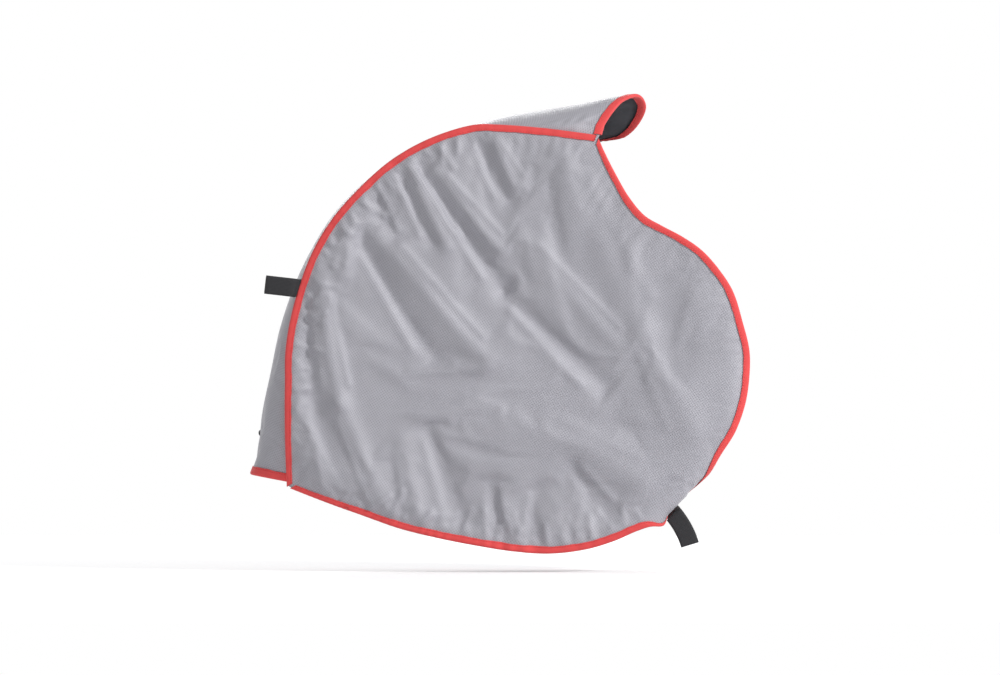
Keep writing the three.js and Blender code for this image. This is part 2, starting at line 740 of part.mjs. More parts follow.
// Strap: sewn on the tucked hem, bent outwards and then flat, facing the front
function strapStart() {
  const seatedReach = hemReachAt(strapAngle) - 2 * hemTapeDepth;
  const { point, out } = station(FRONT, strapAngle, seatedReach);
  const seat = along(point, out, strapLift);
  return seat.addScaledVector(onWheel(strapAngle, 1), strapBend).setY(seat.y - strapBend);
}

function strapRows() {
  const spread = THREE.MathUtils.radToDeg(webbingWidth / 2 / tyreRadius);
  const shares = [-0.5, 0, 0.5];
  const sewn = [0, 1, 2].map((depths) => shares.map((share) => {
    const reach = hemReachAt(strapAngle) - depths * hemTapeDepth;
    const { point, out } = station(FRONT, strapAngle + 2 * share * spread, reach);
    return { point: along(point, out, strapLift + depths * 2 * seatGap), out };
  }));
  const start = strapStart();
  const outward = onWheel(strapAngle, 1);
  const bend = along(start, outward, -strapBend * 0.4).setY(start.y + strapBend * 0.3);
  const bendOut = outward.clone().setY(1).normalize();
  return [
    ...sewn,
    webbingRow(bend, onWheel(strapAngle + 90, 1), bendOut, webbingWidth, shares),
    ...freeStrap(start, 0, 1, webbingWidth, shares),
  ];
}

// Flat free part of the strap between two shares of its length
function freeStrap(start, from, to, width, shares) {
  const rows = [];
  for (let step = 0; step <= strapSteps; step += 1) {
    const share = THREE.MathUtils.lerp(from, to, step / strapSteps);
    const chordTilt = THREE.MathUtils.lerp(strapStartTilt, strapEndTilt, share / 2);
    const tilt = THREE.MathUtils.lerp(strapStartTilt, strapEndTilt, share);
    const centre = along(start, onWheel(chordTilt, 1), strapFreeLength * share);
    rows.push(webbingRow(centre, onWheel(tilt + 90, 1), new THREE.Vector3(0, 1, 0), width, shares));
  }
  return rows;
}

function strap() {
  return strip(strapRows(), webbingThickness / 2, -webbingThickness / 2);
}

// Hook pad: on the strap's hidden face, near its free end
function hookPad() {
  const to = 1 - hookPadInset / strapFreeLength;
  const from = to - hookPadLength / strapFreeLength;
  const low = webbingThickness / 2 + layerGap;
  const rows = freeStrap(strapStart(), from, to, webbingWidth - 2 * hookPadInset, [-0.5, 0.5]);
  return strip(rows, low + padThickness, low);
}

// Loop pad: a patch on the back panel where the hook pad grips
function loopPad() {
  const rows = [];
  for (let row = 0; row <= loopPadCells; row += 1) {
    const reach = THREE.MathUtils.lerp(loopPadReach[0], loopPadReach[1], row / loopPadCells);
    const stations = [];
    for (let column = 0; column <= loopPadCells; column += 1) {
      const angle = THREE.MathUtils.lerp(loopPadAngles[0], loopPadAngles[1], column / loopPadCells);
      stations.push(station(BACK, angle, reach));
    }
    rows.push(stations);
  }
  const low = clothThickness / 2 + loopPadGap;
  return strip(rows, low + padThickness, low);
}

addPiece('front_side_panel', sidePanel(FRONT), materials.nylon);
addPiece('back_side_panel', sidePanel(BACK), materials.nylon);
const coverStrip = strip(band, clothThickness / 2, -clothThickness / 2, [0]);
addPiece('band_cover', cutAway(coverStrip, [glandHole()]), materials.nylon);
const waddingStrip = bandLayer(waddingDepth, waddingThickness, [firstArch + 1, lastArch - 1], layerMargin);
addPiece('band_wadding', cutAway(waddingStrip, [thermostatWindow(), glandHole()]), materials.felt);
addPiece('heating_mat', bandLayer(matDepth, matThickness, [firstArch + 2, lastArch - 2], layerMargin), materials.mat);
addPiece('heating_wire', heatingWire(), materials.wire);
addPiece('band_lining', liningStrip(), materials.lining);
addPiece('thermostat', thermostat(), materials.switchCase);
addPiece('lead_gland', leadGland(), materials.rubber);
addPiece('front_seam_binding', seamTape(FRONT), materials.redTape);
addPiece('back_seam_binding', seamTape(BACK), materials.redTape);
addPiece('front_hem_binding', hemTape(FRONT), materials.redTape);
addPiece('back_hem_binding', hemTape(BACK), materials.redTape);
addPiece('front_hem_elastic', hemElastic(FRONT), materials.elastic);
addPiece('back_hem_elastic', hemElastic(BACK), materials.elastic);
addPiece('lower_mouth_binding', mouthTape(0, 1, [0]), materials.redTape);
addPiece('upper_mouth_binding', mouthTape(band.length - 1, band.length - 2, [1, 2]), materials.redTape);
addPiece('pull_loop', pullLoop(), materials.webbing);
addPiece('strap', strap(), materials.webbing);
addPiece('strap_hook_pad', hookPad(), materials.webbing);
addPiece('panel_loop_pad', loopPad(), materials.webbing);

export default warmer;
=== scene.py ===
# %% [markdown]
# # A tire warmer of cloth, tape and webbing
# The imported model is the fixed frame: it says where every piece of the warmer is. This
# lesson dresses it. Cloth pieces are made again from the same few numbers as the frame,
# with far more points, and are then settled by a short cloth simulation, because a sewn
# sheet gets its look from the small puckers that its seams force on it.

import math

import bpy
import numpy as np
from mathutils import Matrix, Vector, kdtree
from mathutils.geometry import delaunay_2d_cdt


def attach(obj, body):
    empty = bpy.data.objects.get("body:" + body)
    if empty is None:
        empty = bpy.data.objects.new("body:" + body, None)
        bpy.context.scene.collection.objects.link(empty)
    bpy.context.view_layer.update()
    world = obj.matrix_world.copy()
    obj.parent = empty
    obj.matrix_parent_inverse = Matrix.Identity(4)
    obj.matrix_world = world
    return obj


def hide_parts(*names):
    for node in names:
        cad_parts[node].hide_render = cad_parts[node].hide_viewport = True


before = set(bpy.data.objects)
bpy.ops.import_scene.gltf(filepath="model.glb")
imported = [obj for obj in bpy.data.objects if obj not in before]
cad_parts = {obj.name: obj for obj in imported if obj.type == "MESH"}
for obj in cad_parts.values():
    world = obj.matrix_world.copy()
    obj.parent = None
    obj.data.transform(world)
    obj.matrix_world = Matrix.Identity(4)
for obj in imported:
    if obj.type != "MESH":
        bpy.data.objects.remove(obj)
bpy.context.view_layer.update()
print("frame loaded with", len(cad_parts), "nodes")

# %% [markdown]
# ## The camera
# The warmer is seen face-on, so a long lens stands far out along -Y, level with the
# middle of the view. The view is 1000 units wide and 1.358 mm to the unit.

# %% Camera
MM = 0.001
VIEW_WIDTH = 1000 * 1.358 * MM
CAMERA_DISTANCE = 9.0


def make_camera():
    camera = bpy.data.cameras.new("camera")
    camera.sensor_width = 36
    camera.lens = 36 * CAMERA_DISTANCE / VIEW_WIDTH
    camera.clip_end = 60
    holder = bpy.data.objects.new("camera", camera)
    bpy.context.scene.collection.objects.link(holder)
    holder.location = (-0.0197, -CAMERA_DISTANCE, 0.0172)
    holder.rotation_euler = (math.radians(90), 0, 0)
    bpy.context.scene.camera = holder
    return holder


view_camera = make_camera()
print("camera lens is", round(view_camera.data.lens), "mm")

# %% [markdown]
# ## The worn shape
# Each side panel is described from the axle: a clock angle, and a reach that is measured
# along the cloth. Up to the shoulder the cloth is flat. Past it the cloth turns over
# towards the tread, a little where the side is open and fully where the strap pulls it
# under. The edge is two curves through a few clock angles and stand-offs.

# %% Numbers of the worn shape, in millimetres and degrees
TYRE_RADIUS = 300.0
HALF_DEPTH = 62.0
HUB_SAG = 5.0
SHOULDER_START = TYRE_RADIUS - 28.0
SHOULDER_ARC = 60.0
OPEN_TURN, TUCK_TURN = 20.0, 105.0
TUCK_RISE, TUCK_FALL = (20.0, 40.0), (46.5, 55.0)
CLOTH = 0.9
FRONT, BACK = -1, 1

SEAM_OUTLINE = [
    (211, 60), (205, 41), (197, 23), (188, 11), (180, 7), (169, 2), (155, 1), (144, 1),
    (132, 1), (122, 4), (111, 6), (100, 7), (94, 3), (83, 0), (75, 3), (69, 9),
]
HEM_OUTLINE = [
    (69, 9), (66, -7), (60, -29), (53, -45), (46, -50), (40, -42), (34, -29), (28, -16),
    (21, -5), (15, 3), (7, 8), (0, 15), (-6, 17), (-13, 18), (-20, 16), (-28, 12),
    (-35, 24), (-41, 38), (-46, 38), (-49, 22), (-52, 0), (-56, -8), (-62, -12),
    (-70, -17), (-80, -24), (-90, -31), (-100, -34), (-112, -29), (-123, -16), (-134, 4),
    (-143, 33), (-149, 60),
]
CREST_OUTLINE = [
    (205, 94), (202, 76), (194, 53), (185, 32), (175, 20), (165, 12), (155, 8), (140, 7),
    (120, 7), (108, 8), (101, 10), (94, 16), (84, 27), (75, 46), (67, 75), (64, 86),
]
UPPER_MOUTH_EDGE = [
    (69.0, 6, -52), (68.3, 36, -46), (66.7, 68, -29), (64.1, 84, -7), (61.8, 74, 15),
    (61.9, 40, 36), (66.0, 4, 52),
]
print("outlines have", len(SEAM_OUTLINE) + len(HEM_OUTLINE), "points")


# %% Curves and blends
def smooth(value, low, high):
    share = np.clip((np.asarray(value, float) - low) / (high - low), 0, 1)
    return share * share * (3 - 2 * share)


def on_wheel(angle, radius, y=0.0):
    turn = np.radians(angle)
    x, z = radius * np.cos(turn), radius * np.sin(turn)
    return np.stack([x, np.broadcast_to(y, np.shape(x)), z], axis=-1)


def unit(vectors):
    return vectors / np.maximum(np.linalg.norm(vectors, axis=-1, keepdims=True), 1e-9)


def resample(points, count):
    """count points, evenly spaced along a line of points."""
    steps = np.linalg.norm(np.diff(points, axis=0), axis=1)
    run = np.concatenate([[0], np.cumsum(steps)])
    wanted = np.linspace(0, run[-1], count)
    return np.stack([np.interp(wanted, run, axis) for axis in points.T], axis=-1)


def curve_through(points, count):
    """A centripetal Catmull-Rom curve, sampled evenly."""
    points = np.asarray(points, float)
    ends = np.vstack([2 * points[0] - points[1], points, 2 * points[-1] - points[-2]])
    share = np.linspace(0, 1, 40, endpoint=False)[:, None]
    pieces = []
    for a, b, c, d in zip(ends, ends[1:], ends[2:], ends[3:]):
        ka, kb, kc = (np.linalg.norm(v) ** 0.5 for v in (b - a, c - b, d - c))
        leave = ((b - a) / ka - (c - a) / (ka + kb) + (c - b) / kb) * kb
        arrive = ((c - b) / kb - (d - b) / (kb + kc) + (d - c) / kc) * kb
        s, s2, s3 = share, share**2, share**3
        pieces.append(
            (2 * s3 - 3 * s2 + 1) * b + (s3 - 2 * s2 + s) * leave
            + (3 * s2 - 2 * s3) * c + (s3 - s2) * arrive
        )
    return resample(np.vstack([*pieces, points[-1:]]), count)


def along_knots(points, shares):
    """Points of the same curve at shares of its knots, 0 at the first and 1 at the last."""
    fine = curve_through(points, 600)
    knots = [np.argmin(np.linalg.norm(fine - p, axis=1)) for p in np.asarray(points, float)]
    index = np.interp(shares, np.linspace(0, 1, len(knots)), knots)
    return np.stack([np.interp(index, np.arange(600), axis) for axis in fine.T], axis=-1)


def outline_curve(outline, count):
    return curve_through([on_wheel(a, TYRE_RADIUS + s) for a, s in outline], count)


seam_line = outline_curve(SEAM_OUTLINE, 1400)
hem_line = outline_curve(HEM_OUTLINE, 2000)
for name, line in (("seam", seam_line), ("hem", hem_line)):
    print(name, "is", round(np.linalg.norm(np.diff(line, axis=0), axis=1).sum()), "mm")


# %% The worn surface
FOLDS = [
    ((139, 0.79), (-156, 0.13), 14, 6), ((144, 0.86), (-176, 0.36), 15, -7),
    ((114, 0.88), (97, 0.45), 12, 6), ((117, 0.94), (99, 0.29), 13, -7),
    ((87, 0.51), (-1, 0.49), 15, 5), ((99, 0.27), (-21, 0.43), 16, -7),
    ((96, 0.95), (89, 0.74), 11, 4), ((101, 0.97), (92, 0.68), 12, -6),
    ((120, 0.96), (123, 0.56), 10, 4), ((123, 0.98), (127, 0.61), 10, -6),
    ((131, 0.96), (138, 0.75), 11, -5), ((142, 0.92), (156, 0.84), 12, 5),
    ((161, 0.92), (-163, 0.82), 13, 6), ((-163, 0.82), (-129, 0.92), 13, 6),
    ((167, 0.98), (-166, 0.94), 14, -5), ((-166, 0.94), (-140, 1.02), 14, -5),
    ((76, 0.89), (9, 0.58), 24, 5), ((9, 0.58), (-24, 0.87), 22, 5),
    ((-66, 0.35), (-46, 0.82), 20, 4), ((-137, 0.53), (-108, 0.79), 15, -5),
    ((-100, 0.6), (-95, 0.84), 13, -5), ((-81, 0.64), (-84, 0.86), 13, -5),
    ((-64, 0.59), (-61, 0.84), 14, -6), ((-141, 0.65), (-120, 0.86), 13, 4),
]
BACK_FOLD_SHARE = 0.5


def shoulder_profile(angle, reach):
    """Radius and depth of the worn cloth at a flat reach."""
    sag = HUB_SAG * np.maximum(0, 1 - (reach / (TYRE_RADIUS * 0.85)) ** 2)
    tuck = smooth(-angle, *TUCK_RISE) * (1 - smooth(-angle, *TUCK_FALL))
    turn = np.radians(OPEN_TURN + (TUCK_TURN - OPEN_TURN) * tuck)
    step = np.maximum(reach - SHOULDER_START, 0) / 24
    radius, depth = np.minimum(reach, SHOULDER_START), HALF_DEPTH - sag
    for index in range(24):
        lean = turn * smooth((index + 0.5) * step, 0, SHOULDER_ARC)
        radius = radius + step * np.cos(lean)
        depth = depth - step * np.sin(lean)
    return radius, depth


def along_lines(lines, angle, reach):
    """Summed height of soft ridges and valleys along straight lines on the flat cloth."""
    here = on_wheel(angle, reach)
    height = np.zeros(np.shape(reach))
    for a, b, half_width, rise in lines:
        share = np.clip(((here - a) @ (b - a)) / ((b - a) @ (b - a)), 0, 1)
        gap = np.linalg.norm(here - a - share[..., None] * (b - a), axis=-1) / half_width
        height = height + rise * np.exp(-gap * gap)
    return height


def on_panel(place):
    """The flat point at an angle in degrees and a share of the tyre's radius."""
    angle, share = place
    return on_wheel(angle, share * TYRE_RADIUS)


fold_lines = [(on_panel(start), on_panel(end), width, rise) for start, end, width, rise in FOLDS]


def fold_height(side, angle, reach):
    share = 1 if side == FRONT else BACK_FOLD_SHARE
    calm = 1 - 0.7 * smooth(reach, TYRE_RADIUS - 30, TYRE_RADIUS)
    return share * along_lines(fold_lines, angle, reach) * calm


rim_line = np.vstack([seam_line, hem_line[1:-1]])
rim_angle = (np.degrees(np.arctan2(rim_line[:, 2], rim_line[:, 0])) + 149) % 360 - 149
rim_order = np.argsort(rim_angle)
rim_reach = np.hypot(rim_line[:, 0], rim_line[:, 2])


def gathers(angle, reach):
    """Small waves that the elastic in the hem and the seam's thread force on the edge."""
    edge = np.interp(angle, rim_angle[rim_order], rim_reach[rim_order])
    run = np.radians(angle) * edge
    wander = 1.9 * np.sin(run / 41) + 1.3 * np.sin(run / 23 + 1.0)
    wave = np.sin(run / 2.6 + wander) * (0.65 + 0.35 * np.sin(run / 17 + 2.0))
    elastic = 0.3 + 0.75 * smooth(-angle, 60, 80) * (1 - smooth(-angle, 138, 148))
    return 0.8 * elastic * wave * np.exp(-np.maximum(edge - reach, 0) / 16)


def worn(side, angle, reach):
    angle = (np.asarray(angle, float) + 149) % 360 - 149
    radius, depth = shoulder_profile(angle, np.asarray(reach, float))
    height = fold_height(side, angle, reach) + gathers(angle, reach)
    return on_wheel(angle, radius, side * (depth + height))


def worn_normal(side, angle, reach):
    reach = np.maximum(np.asarray(reach, float), 2)
    turn = np.degrees(0.5 / reach)
    outward = worn(side, angle, reach + 0.5) - worn(side, angle, reach - 0.5)
    around = worn(side, angle + turn, reach) - worn(side, angle - turn, reach)
    return unit(np.cross(outward, around)) * -side


def station(side, line, back_off=0.0):
    """Points on the worn cloth below a flat line, moved towards the axle by back_off."""
    angle = np.degrees(np.arctan2(line[:, 2], line[:, 0]))
    reach = np.hypot(line[:, 0], line[:, 2]) - back_off
    return worn(side, angle, reach), worn_normal(side, angle, reach)


print("depth over the hub is", round(float(abs(worn(FRONT, 0, 1.0)[1])), 1), "mm")

# %% [markdown]
# ## Making meshes from points
# Sheets and tapes are rows of points. Two helpers turn them into meshes: one for a grid
# of rows, which may close on itself, and one for loose faces. Points are in millimetres
# and the mesh is in metres, at the origin, as the frame's own nodes are.


# %% Mesh helpers
def new_mesh(name, points, faces, uvs=None):
    mesh = bpy.data.meshes.new(name)
    mesh.from_pydata((np.asarray(points) * MM).tolist(), [], [list(f) for f in faces])
    if uvs is not None:
        layer = mesh.uv_layers.new(name="cut")
        corners = np.zeros(len(mesh.loops), np.int32)
        mesh.loops.foreach_get("vertex_index", corners)
        layer.data.foreach_set("uv", np.asarray(uvs, np.float32)[corners].ravel())
    mesh.validate()
    piece = bpy.data.objects.new(name, mesh)
    bpy.context.scene.collection.objects.link(piece)
    mesh.shade_smooth()
    return piece


def grid_faces(rows, columns, close_rows=False, close_columns=False):
    faces = []
    for row in range(rows if close_rows else rows - 1):
        for column in range(columns if close_columns else columns - 1):
            a = row * columns + column
            b = row * columns + (column + 1) % columns
            c = (row + 1) % rows * columns + (column + 1) % columns
            d = (row + 1) % rows * columns + column
            faces.append((a, b, c, d))
    return faces


def finish_piece(piece, material, *nodes, slot=None):
    piece.data.materials.clear()
    piece.data.materials.append(material)
    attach(piece, "root")
    if nodes:
        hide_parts(*nodes)
    return piece


def only_this(piece):
    bpy.ops.object.select_all(action="DESELECT")
    piece.select_set(True)
    bpy.context.view_layer.objects.active = piece


def apply_modifier(piece, kind, **settings):
    only_this(piece)
    modifier = piece.modifiers.new(kind.lower(), kind)
    for key, value in settings.items():
        setattr(modifier, key, value)
    bpy.ops.object.modifier_apply(modifier=modifier.name)


def read_points(piece):
    flat = np.zeros(len(piece.data.vertices) * 3, np.float32)
    piece.data.vertices.foreach_get("co", flat)
    return flat.reshape(-1, 3).astype(float) / MM


def write_points(piece, points):
    piece.data.vertices.foreach_set("co", (points * MM).astype(np.float32).ravel())
    piece.data.update()


def outward_check(piece):
    """Turns a closed mesh right side out if its volume comes out negative."""
    import bmesh

    work = bmesh.new()
    work.from_mesh(piece.data)
    if work.calc_volume(signed=True) < 0:
        bmesh.ops.reverse_faces(work, faces=work.faces)
        work.to_mesh(piece.data)
    work.free()


print("helpers ready")

# %% [markdown]
# ## Materials from nodes
# A finish is a few node patterns that feed one shader. Writing node trees by hand is
# long, so one small class lets a socket be used in an ordinary sum or product, and one
# method adds any other node.


# %% Shader helpers
class Signal:
    """One output socket that can be used in sums."""

    def __init__(self, finish, socket):
        self.finish, self.socket = finish, socket

    def math(self, operation, first, second=0.0):
        return self.finish.node(
            "ShaderNodeMath", {"operation": operation}, {0: first, 1: second})

    def __add__(self, other):
        return self.math("ADD", self, other)

    def __radd__(self, other):
        return self.math("ADD", other, self)

    def __sub__(self, other):
        return self.math("SUBTRACT", self, other)

    def __rsub__(self, other):
        return self.math("SUBTRACT", other, self)

    def __mul__(self, other):
        return self.math("MULTIPLY", self, other)

    def __rmul__(self, other):
        return self.math("MULTIPLY", other, self)

    def __truediv__(self, other):
        return self.math("DIVIDE", self, other)

    def __pow__(self, other):
        return self.math("POWER", self, other)


class Finish:
    """A material with one Principled shader, built from patterns."""

    def __init__(self, name, color, roughness=0.7):
        self.material = bpy.data.materials.new(name)
        self.material.use_nodes = True
        self.tree = self.material.node_tree
        self.shader = self.tree.nodes["Principled BSDF"]
        self.set("Base Color", (*color, 1))
        self.set("Roughness", roughness)

    def node(self, kind, settings=None, inputs=None, output=0):
        made = self.tree.nodes.new(kind)
        for key, value in (settings or {}).items():
            setattr(made, key, value)
        for key, value in (inputs or {}).items():
            self.plug(made.inputs[key], value)
        return Signal(self, made.outputs[output])

    def plug(self, socket, value):
        if isinstance(value, Signal):
            self.tree.links.new(value.socket, socket)
        else:
            socket.default_value = value

    def set(self, name, value):
        self.plug(self.shader.inputs[name], value)

    def place(self, scale=(1, 1, 1), turn=0.0, uv=False):
        source = self.node("ShaderNodeTexCoord", output="UV" if uv else "Object")
        return self.node(
            "ShaderNodeMapping", {"vector_type": "POINT"},
            {"Vector": source, "Scale": scale, "Rotation": (0, 0, math.radians(turn))})

    def split(self, vector):
        parts = self.tree.nodes.new("ShaderNodeSeparateXYZ")
        self.plug(parts.inputs[0], vector)
        return [Signal(self, parts.outputs[axis]) for axis in "XYZ"]

    def noise(self, vector, scale, detail=2.0, rough=0.5):
        inputs = {"Vector": vector, "Scale": scale, "Detail": detail, "Roughness": rough}
        return self.node("ShaderNodeTexNoise", {}, inputs)

    def blend(self, factor, first, second):
        return self.node(
            "ShaderNodeMix", {"data_type": "RGBA"},
            {0: factor, 6: first if isinstance(first, Signal) else (*first, 1),
             7: second if isinstance(second, Signal) else (*second, 1)}, output=2)

    def ramp(self, signal, low, high):
        return self.node(
            "ShaderNodeMapRange", {"clamp": True}, {"Value": signal, "From Min": low, "From Max": high})

    def wave(self, signal, cycles=1.0):
        """0 to 1 and back, once for each cycle of signal."""
        turn = signal * (2 * math.pi * cycles)
        return self.node("ShaderNodeMath", {"operation": "COSINE"}, {0: turn}) * -0.5 + 0.5

    def bump(self, height, distance, strength=1.0, over=None):
        inputs = {"Height": height, "Distance": distance, "Strength": strength}
        if over is not None:
            inputs["Normal"] = over
        return self.node("ShaderNodeBump", {}, inputs)


def linear(red, green, blue):
    """Screen colour, 0 to 255, as the shader's own linear colour."""
    return tuple(
        ((v / 255 + 0.055) / 1.055) ** 2.4 if v > 10 else v / 255 / 12.92
        for v in (red, green, blue)
    )


print("mid grey is", tuple(round(v, 3) for v in linear(178, 177, 184)))

# %% [markdown]
# ## The nylon
# The shell is a silver grey nylon with a fine diamond dobby, woven in slanting rows, and
# a thin coating that gives a soft sheen. The pattern follows the cut cloth, so it reads
# the piece's own UV map, which holds the flat pattern in millimetres.

# %% Nylon finish
DOBBY_PITCH = 4.2
DOBBY_SLOPE = 11.5


def nylon_finish():
    finish = Finish("silver_nylon", linear(183, 182, 189), 0.5)
    cells = finish.place((1 / DOBBY_PITCH, 1 / DOBBY_PITCH, 1), DOBBY_SLOPE, uv=True)
    u, v, _ = finish.split(cells)
    diamond = finish.wave(u + v, 1) * finish.wave(u - v, 1)
    thread = finish.wave(u, 7) * 0.5 + finish.wave(v, 7) * 0.5
    flat = finish.place((1, 1, 1), uv=True)
    patches = finish.ramp(finish.noise(flat, 0.011, 3), 0.35, 0.65)
    wear = finish.ramp(finish.noise(flat, 0.06, 4, 0.6), 0.4, 0.75)
    body = finish.blend(patches, linear(178, 177, 185), linear(187, 186, 194))
    woven = finish.blend(diamond * 0.8, body, linear(138, 137, 146))
    finish.set("Base Color", finish.blend(wear * 0.15, woven, linear(190, 189, 195)))
    finish.set("Roughness", 0.4 + 0.18 * diamond + 0.06 * wear)
    finish.set("Coat Weight", 0.08)
    finish.set("Coat Roughness", 0.45)
    finish.set("Normal", finish.bump(diamond * -0.7 + thread * 0.3, 0.4 * MM, 0.7))
    finish.set("Sheen Weight", 0.12)
    finish.set("Sheen Roughness", 0.45)
    finish.set("Specular IOR Level", 0.42)
    return finish.material


nylon = nylon_finish()
print("made", nylon.name)

# %% [markdown]
# ## Red binding tape and its thread
# Every cut edge is bound with a red woven tape, folded round the edge and sewn through.
# The tape is a plain weave with fine ribs across it, a little darker where it is worn.


# %% Tape and thread finishes
def tape_finish():
    finish = Finish("red_binding_tape", linear(240, 78, 78), 0.75)
    u, v, _ = finish.split(finish.place((1, 1, 1), uv=True))
    ribs = finish.wave(u, 0.9) * finish.wave(v, 1.4)
    flat = finish.place((1, 1, 1), uv=True)
    soil = finish.ramp(finish.noise(flat, 0.05, 4, 0.6), 0.45, 0.8)
    base = finish.blend(soil * 0.35, linear(243, 80, 80), linear(212, 62, 66))
    finish.set("Base Color", finish.blend(ribs * 0.22, base, linear(196, 52, 58)))
    finish.set("Roughness", 0.68 + 0.14 * ribs)
    finish.set("Normal", finish.bump(ribs, 0.15 * MM, 0.5))
    finish.set("Sheen Weight", 0.2)
    finish.set("Sheen Roughness", 0.5)
    return finish.material


def thread_finish(name, color, dark):
    finish = Finish(name, linear(*color), 0.6)
    place = finish.place((1, 1, 1))
    twist = finish.ramp(finish.noise(place, 900, 2), 0.35, 0.65)
    finish.set("Base Color", finish.blend(twist * 0.6, linear(*color), linear(*dark)))
    finish.set("Normal", finish.bump(twist, 0.08 * MM, 0.5))
    return finish.material


red_tape = tape_finish()
red_thread = thread_finish("red_thread", (226, 66, 68), (168, 40, 46))
print("made", red_tape.name, red_thread.name)

# %% [markdown]
# ## Lining, webbing and the hidden layers
# The lining is a dull dark cloth that stands the heat. Webbing is a thick black ribbed
# weave. Wadding, mat and wire are inside the band and are never seen in use, but a piece
# that someone may open still gets its own plain finish.


# %% Dark cloth, webbing and inner finishes
def lining_finish():
    finish = Finish("dark_lining", linear(66, 68, 73), 0.85)
    u, v, _ = finish.split(finish.place((1, 1, 1), uv=True))
    weave = finish.wave(u, 0.8) * finish.wave(v, 0.8)
    patches = finish.noise(finish.place((1, 1, 1), uv=True), 0.04, 3)
    base = finish.blend(patches, linear(60, 62, 67), linear(78, 80, 85))
    finish.set("Base Color", finish.blend(weave * 0.35, base, linear(48, 49, 54)))
    finish.set("Normal", finish.bump(weave, 0.2 * MM, 0.5))
    return finish.material


def webbing_finish():
    finish = Finish("black_webbing", linear(52, 51, 55), 0.8)
    u, v, _ = finish.split(finish.place((1, 1, 1), uv=True))
    picks = finish.wave(u, 0.62)
    ends = finish.wave(v, 0.55)
    weave = finish.ramp(picks * 0.6 + ends * 0.4, 0.1, 0.9)
    fuzz = finish.noise(finish.place((1, 1, 1), uv=True), 1.2, 3)
    base = finish.blend(fuzz, linear(44, 43, 47), linear(66, 65, 69))
    finish.set("Base Color", finish.blend(weave * 0.5, linear(30, 30, 33), base))
    finish.set("Normal", finish.bump(weave, 0.35 * MM, 0.8))
    finish.set("Sheen Weight", 0.15)
    return finish.material


def fibre_finish(name, color, dark, grain, depth, roughness=0.9):
    finish = Finish(name, linear(*color), roughness)
    place = finish.place((1, 1, 1))
    fibres = finish.noise(place, grain, 5, 0.7)
    patches = finish.noise(place, grain / 20, 2)
    base = finish.blend(patches * 0.4, linear(*color), linear(*dark))
    finish.set("Base Color", finish.blend(fibres * 0.6, base, linear(*dark)))
    finish.set("Roughness", roughness - 0.15 * fibres)
    finish.set("Normal", finish.bump(fibres, depth * MM, 0.7))
    return finish.material


lining_cloth = lining_finish()
webbing = webbing_finish()
felt = fibre_finish("needled_felt", (222, 217, 207), (186, 180, 168), 700, 0.5)
silicone_mat = fibre_finish("silicone_mat", (181, 84, 48), (146, 62, 34), 260, 0.15, 0.6)
wire_skin = fibre_finish("wire_skin", (62, 62, 66), (40, 40, 43), 300, 0.05, 0.55)
switch_case = fibre_finish("switch_case", (44, 44, 47), (30, 30, 32), 900, 0.04, 0.5)
rubber = fibre_finish("moulded_rubber", (34, 34, 36), (22, 22, 24), 500, 0.08, 0.75)
elastic_weave = fibre_finish("white_elastic", (230, 228, 222), (196, 193, 186), 400, 0.2)
hook_pile = fibre_finish("hook_pile", (34, 34, 37), (14, 14, 16), 1400, 0.8)
loop_pile = fibre_finish("loop_pile", (42, 42, 45), (20, 20, 22), 900, 1.0)
print("made", len(bpy.data.materials), "materials")

# %% [markdown]
# ## Settling cloth
# The panels could be shaped by hand, but puckers made by hand look drawn. Here the cloth
# starts on the worn shape with its big folds, is pinned where it is sewn, and is given a
# few percent more length than the space it has. A short simulation then lets that spare
# length go into folds of its own. How far a point may move is capped afterwards.


# %% Cloth simulation
def settle(piece, pinned, slack, frames, gravity=0.3, bending=0.5):
    """Lets the sheet take up its slack while the pinned points hold still."""
    group = piece.vertex_groups.new(name="sewn")
    for index, weight in enumerate(pinned):
        if weight > 0.01:
            group.add([index], float(weight), "REPLACE")
    cloth = piece.modifiers.new("settling", "CLOTH")
    settings = cloth.settings
    settings.quality = 5
    settings.mass = 0.15
    settings.tension_stiffness = settings.compression_stiffness = 12
    settings.shear_stiffness = 4
    settings.bending_stiffness = bending
    settings.tension_damping = settings.compression_damping = settings.shear_damping = 8
    settings.bending_damping = 0.8
    settings.air_damping = 2.5
    settings.vertex_group_mass = "sewn"
    settings.shrink_min = -slack
    settings.effector_weights.gravity = gravity
    cloth.collision_settings.use_collision = False
    cloth.point_cache.frame_start = 1
    cloth.point_cache.frame_end = frames
    for number in range(1, frames + 1):
        bpy.context.scene.frame_set(number)
    only_this(piece)
    bpy.ops.object.modifier_apply(modifier=cloth.name)
    piece.vertex_groups.clear()
    bpy.context.scene.frame_set(1)


def cap_moves(before, after, normals, inward, outward, sideways):
    """Keeps each point of the settled cloth within a few millimetres of its start."""
    move = after - before
    lift = np.sum(move * normals, axis=1)
    slide = move - lift[:, None] * normals
    limit = np.where(lift < 0, inward, outward)
    lift = limit * np.tanh(lift / limit)
    length = np.linalg.norm(slide, axis=1)
    slide *= (sideways * np.tanh(length / sideways) / np.maximum(length, 1e-6))[:, None]
    return before + slide + lift[:, None] * normals


print("simulation is", "on")

# %% [markdown]
# ## Side panels
# A panel is one flat cut, nearly a disc with an S-shaped side. Its points lie on an even
# triangular lattice, so the cloth has no grain of its own and folds as freely one way as
# another. The lattice is flat at first and gives the UV map, then is worn.

# %% Panel lattice
SPACING = 6.4
PANEL_EDGE = 2600
SEAM_TAPE = 7.4
HEM_TAPE = 7.2


def rim_tree(rim):
    """A search tree of a flat rim's points."""
    tree = kdtree.KDTree(len(rim))
    for index, (x, z) in enumerate(rim):
        tree.insert((x, z, 0), index)
    tree.balance()
    return tree


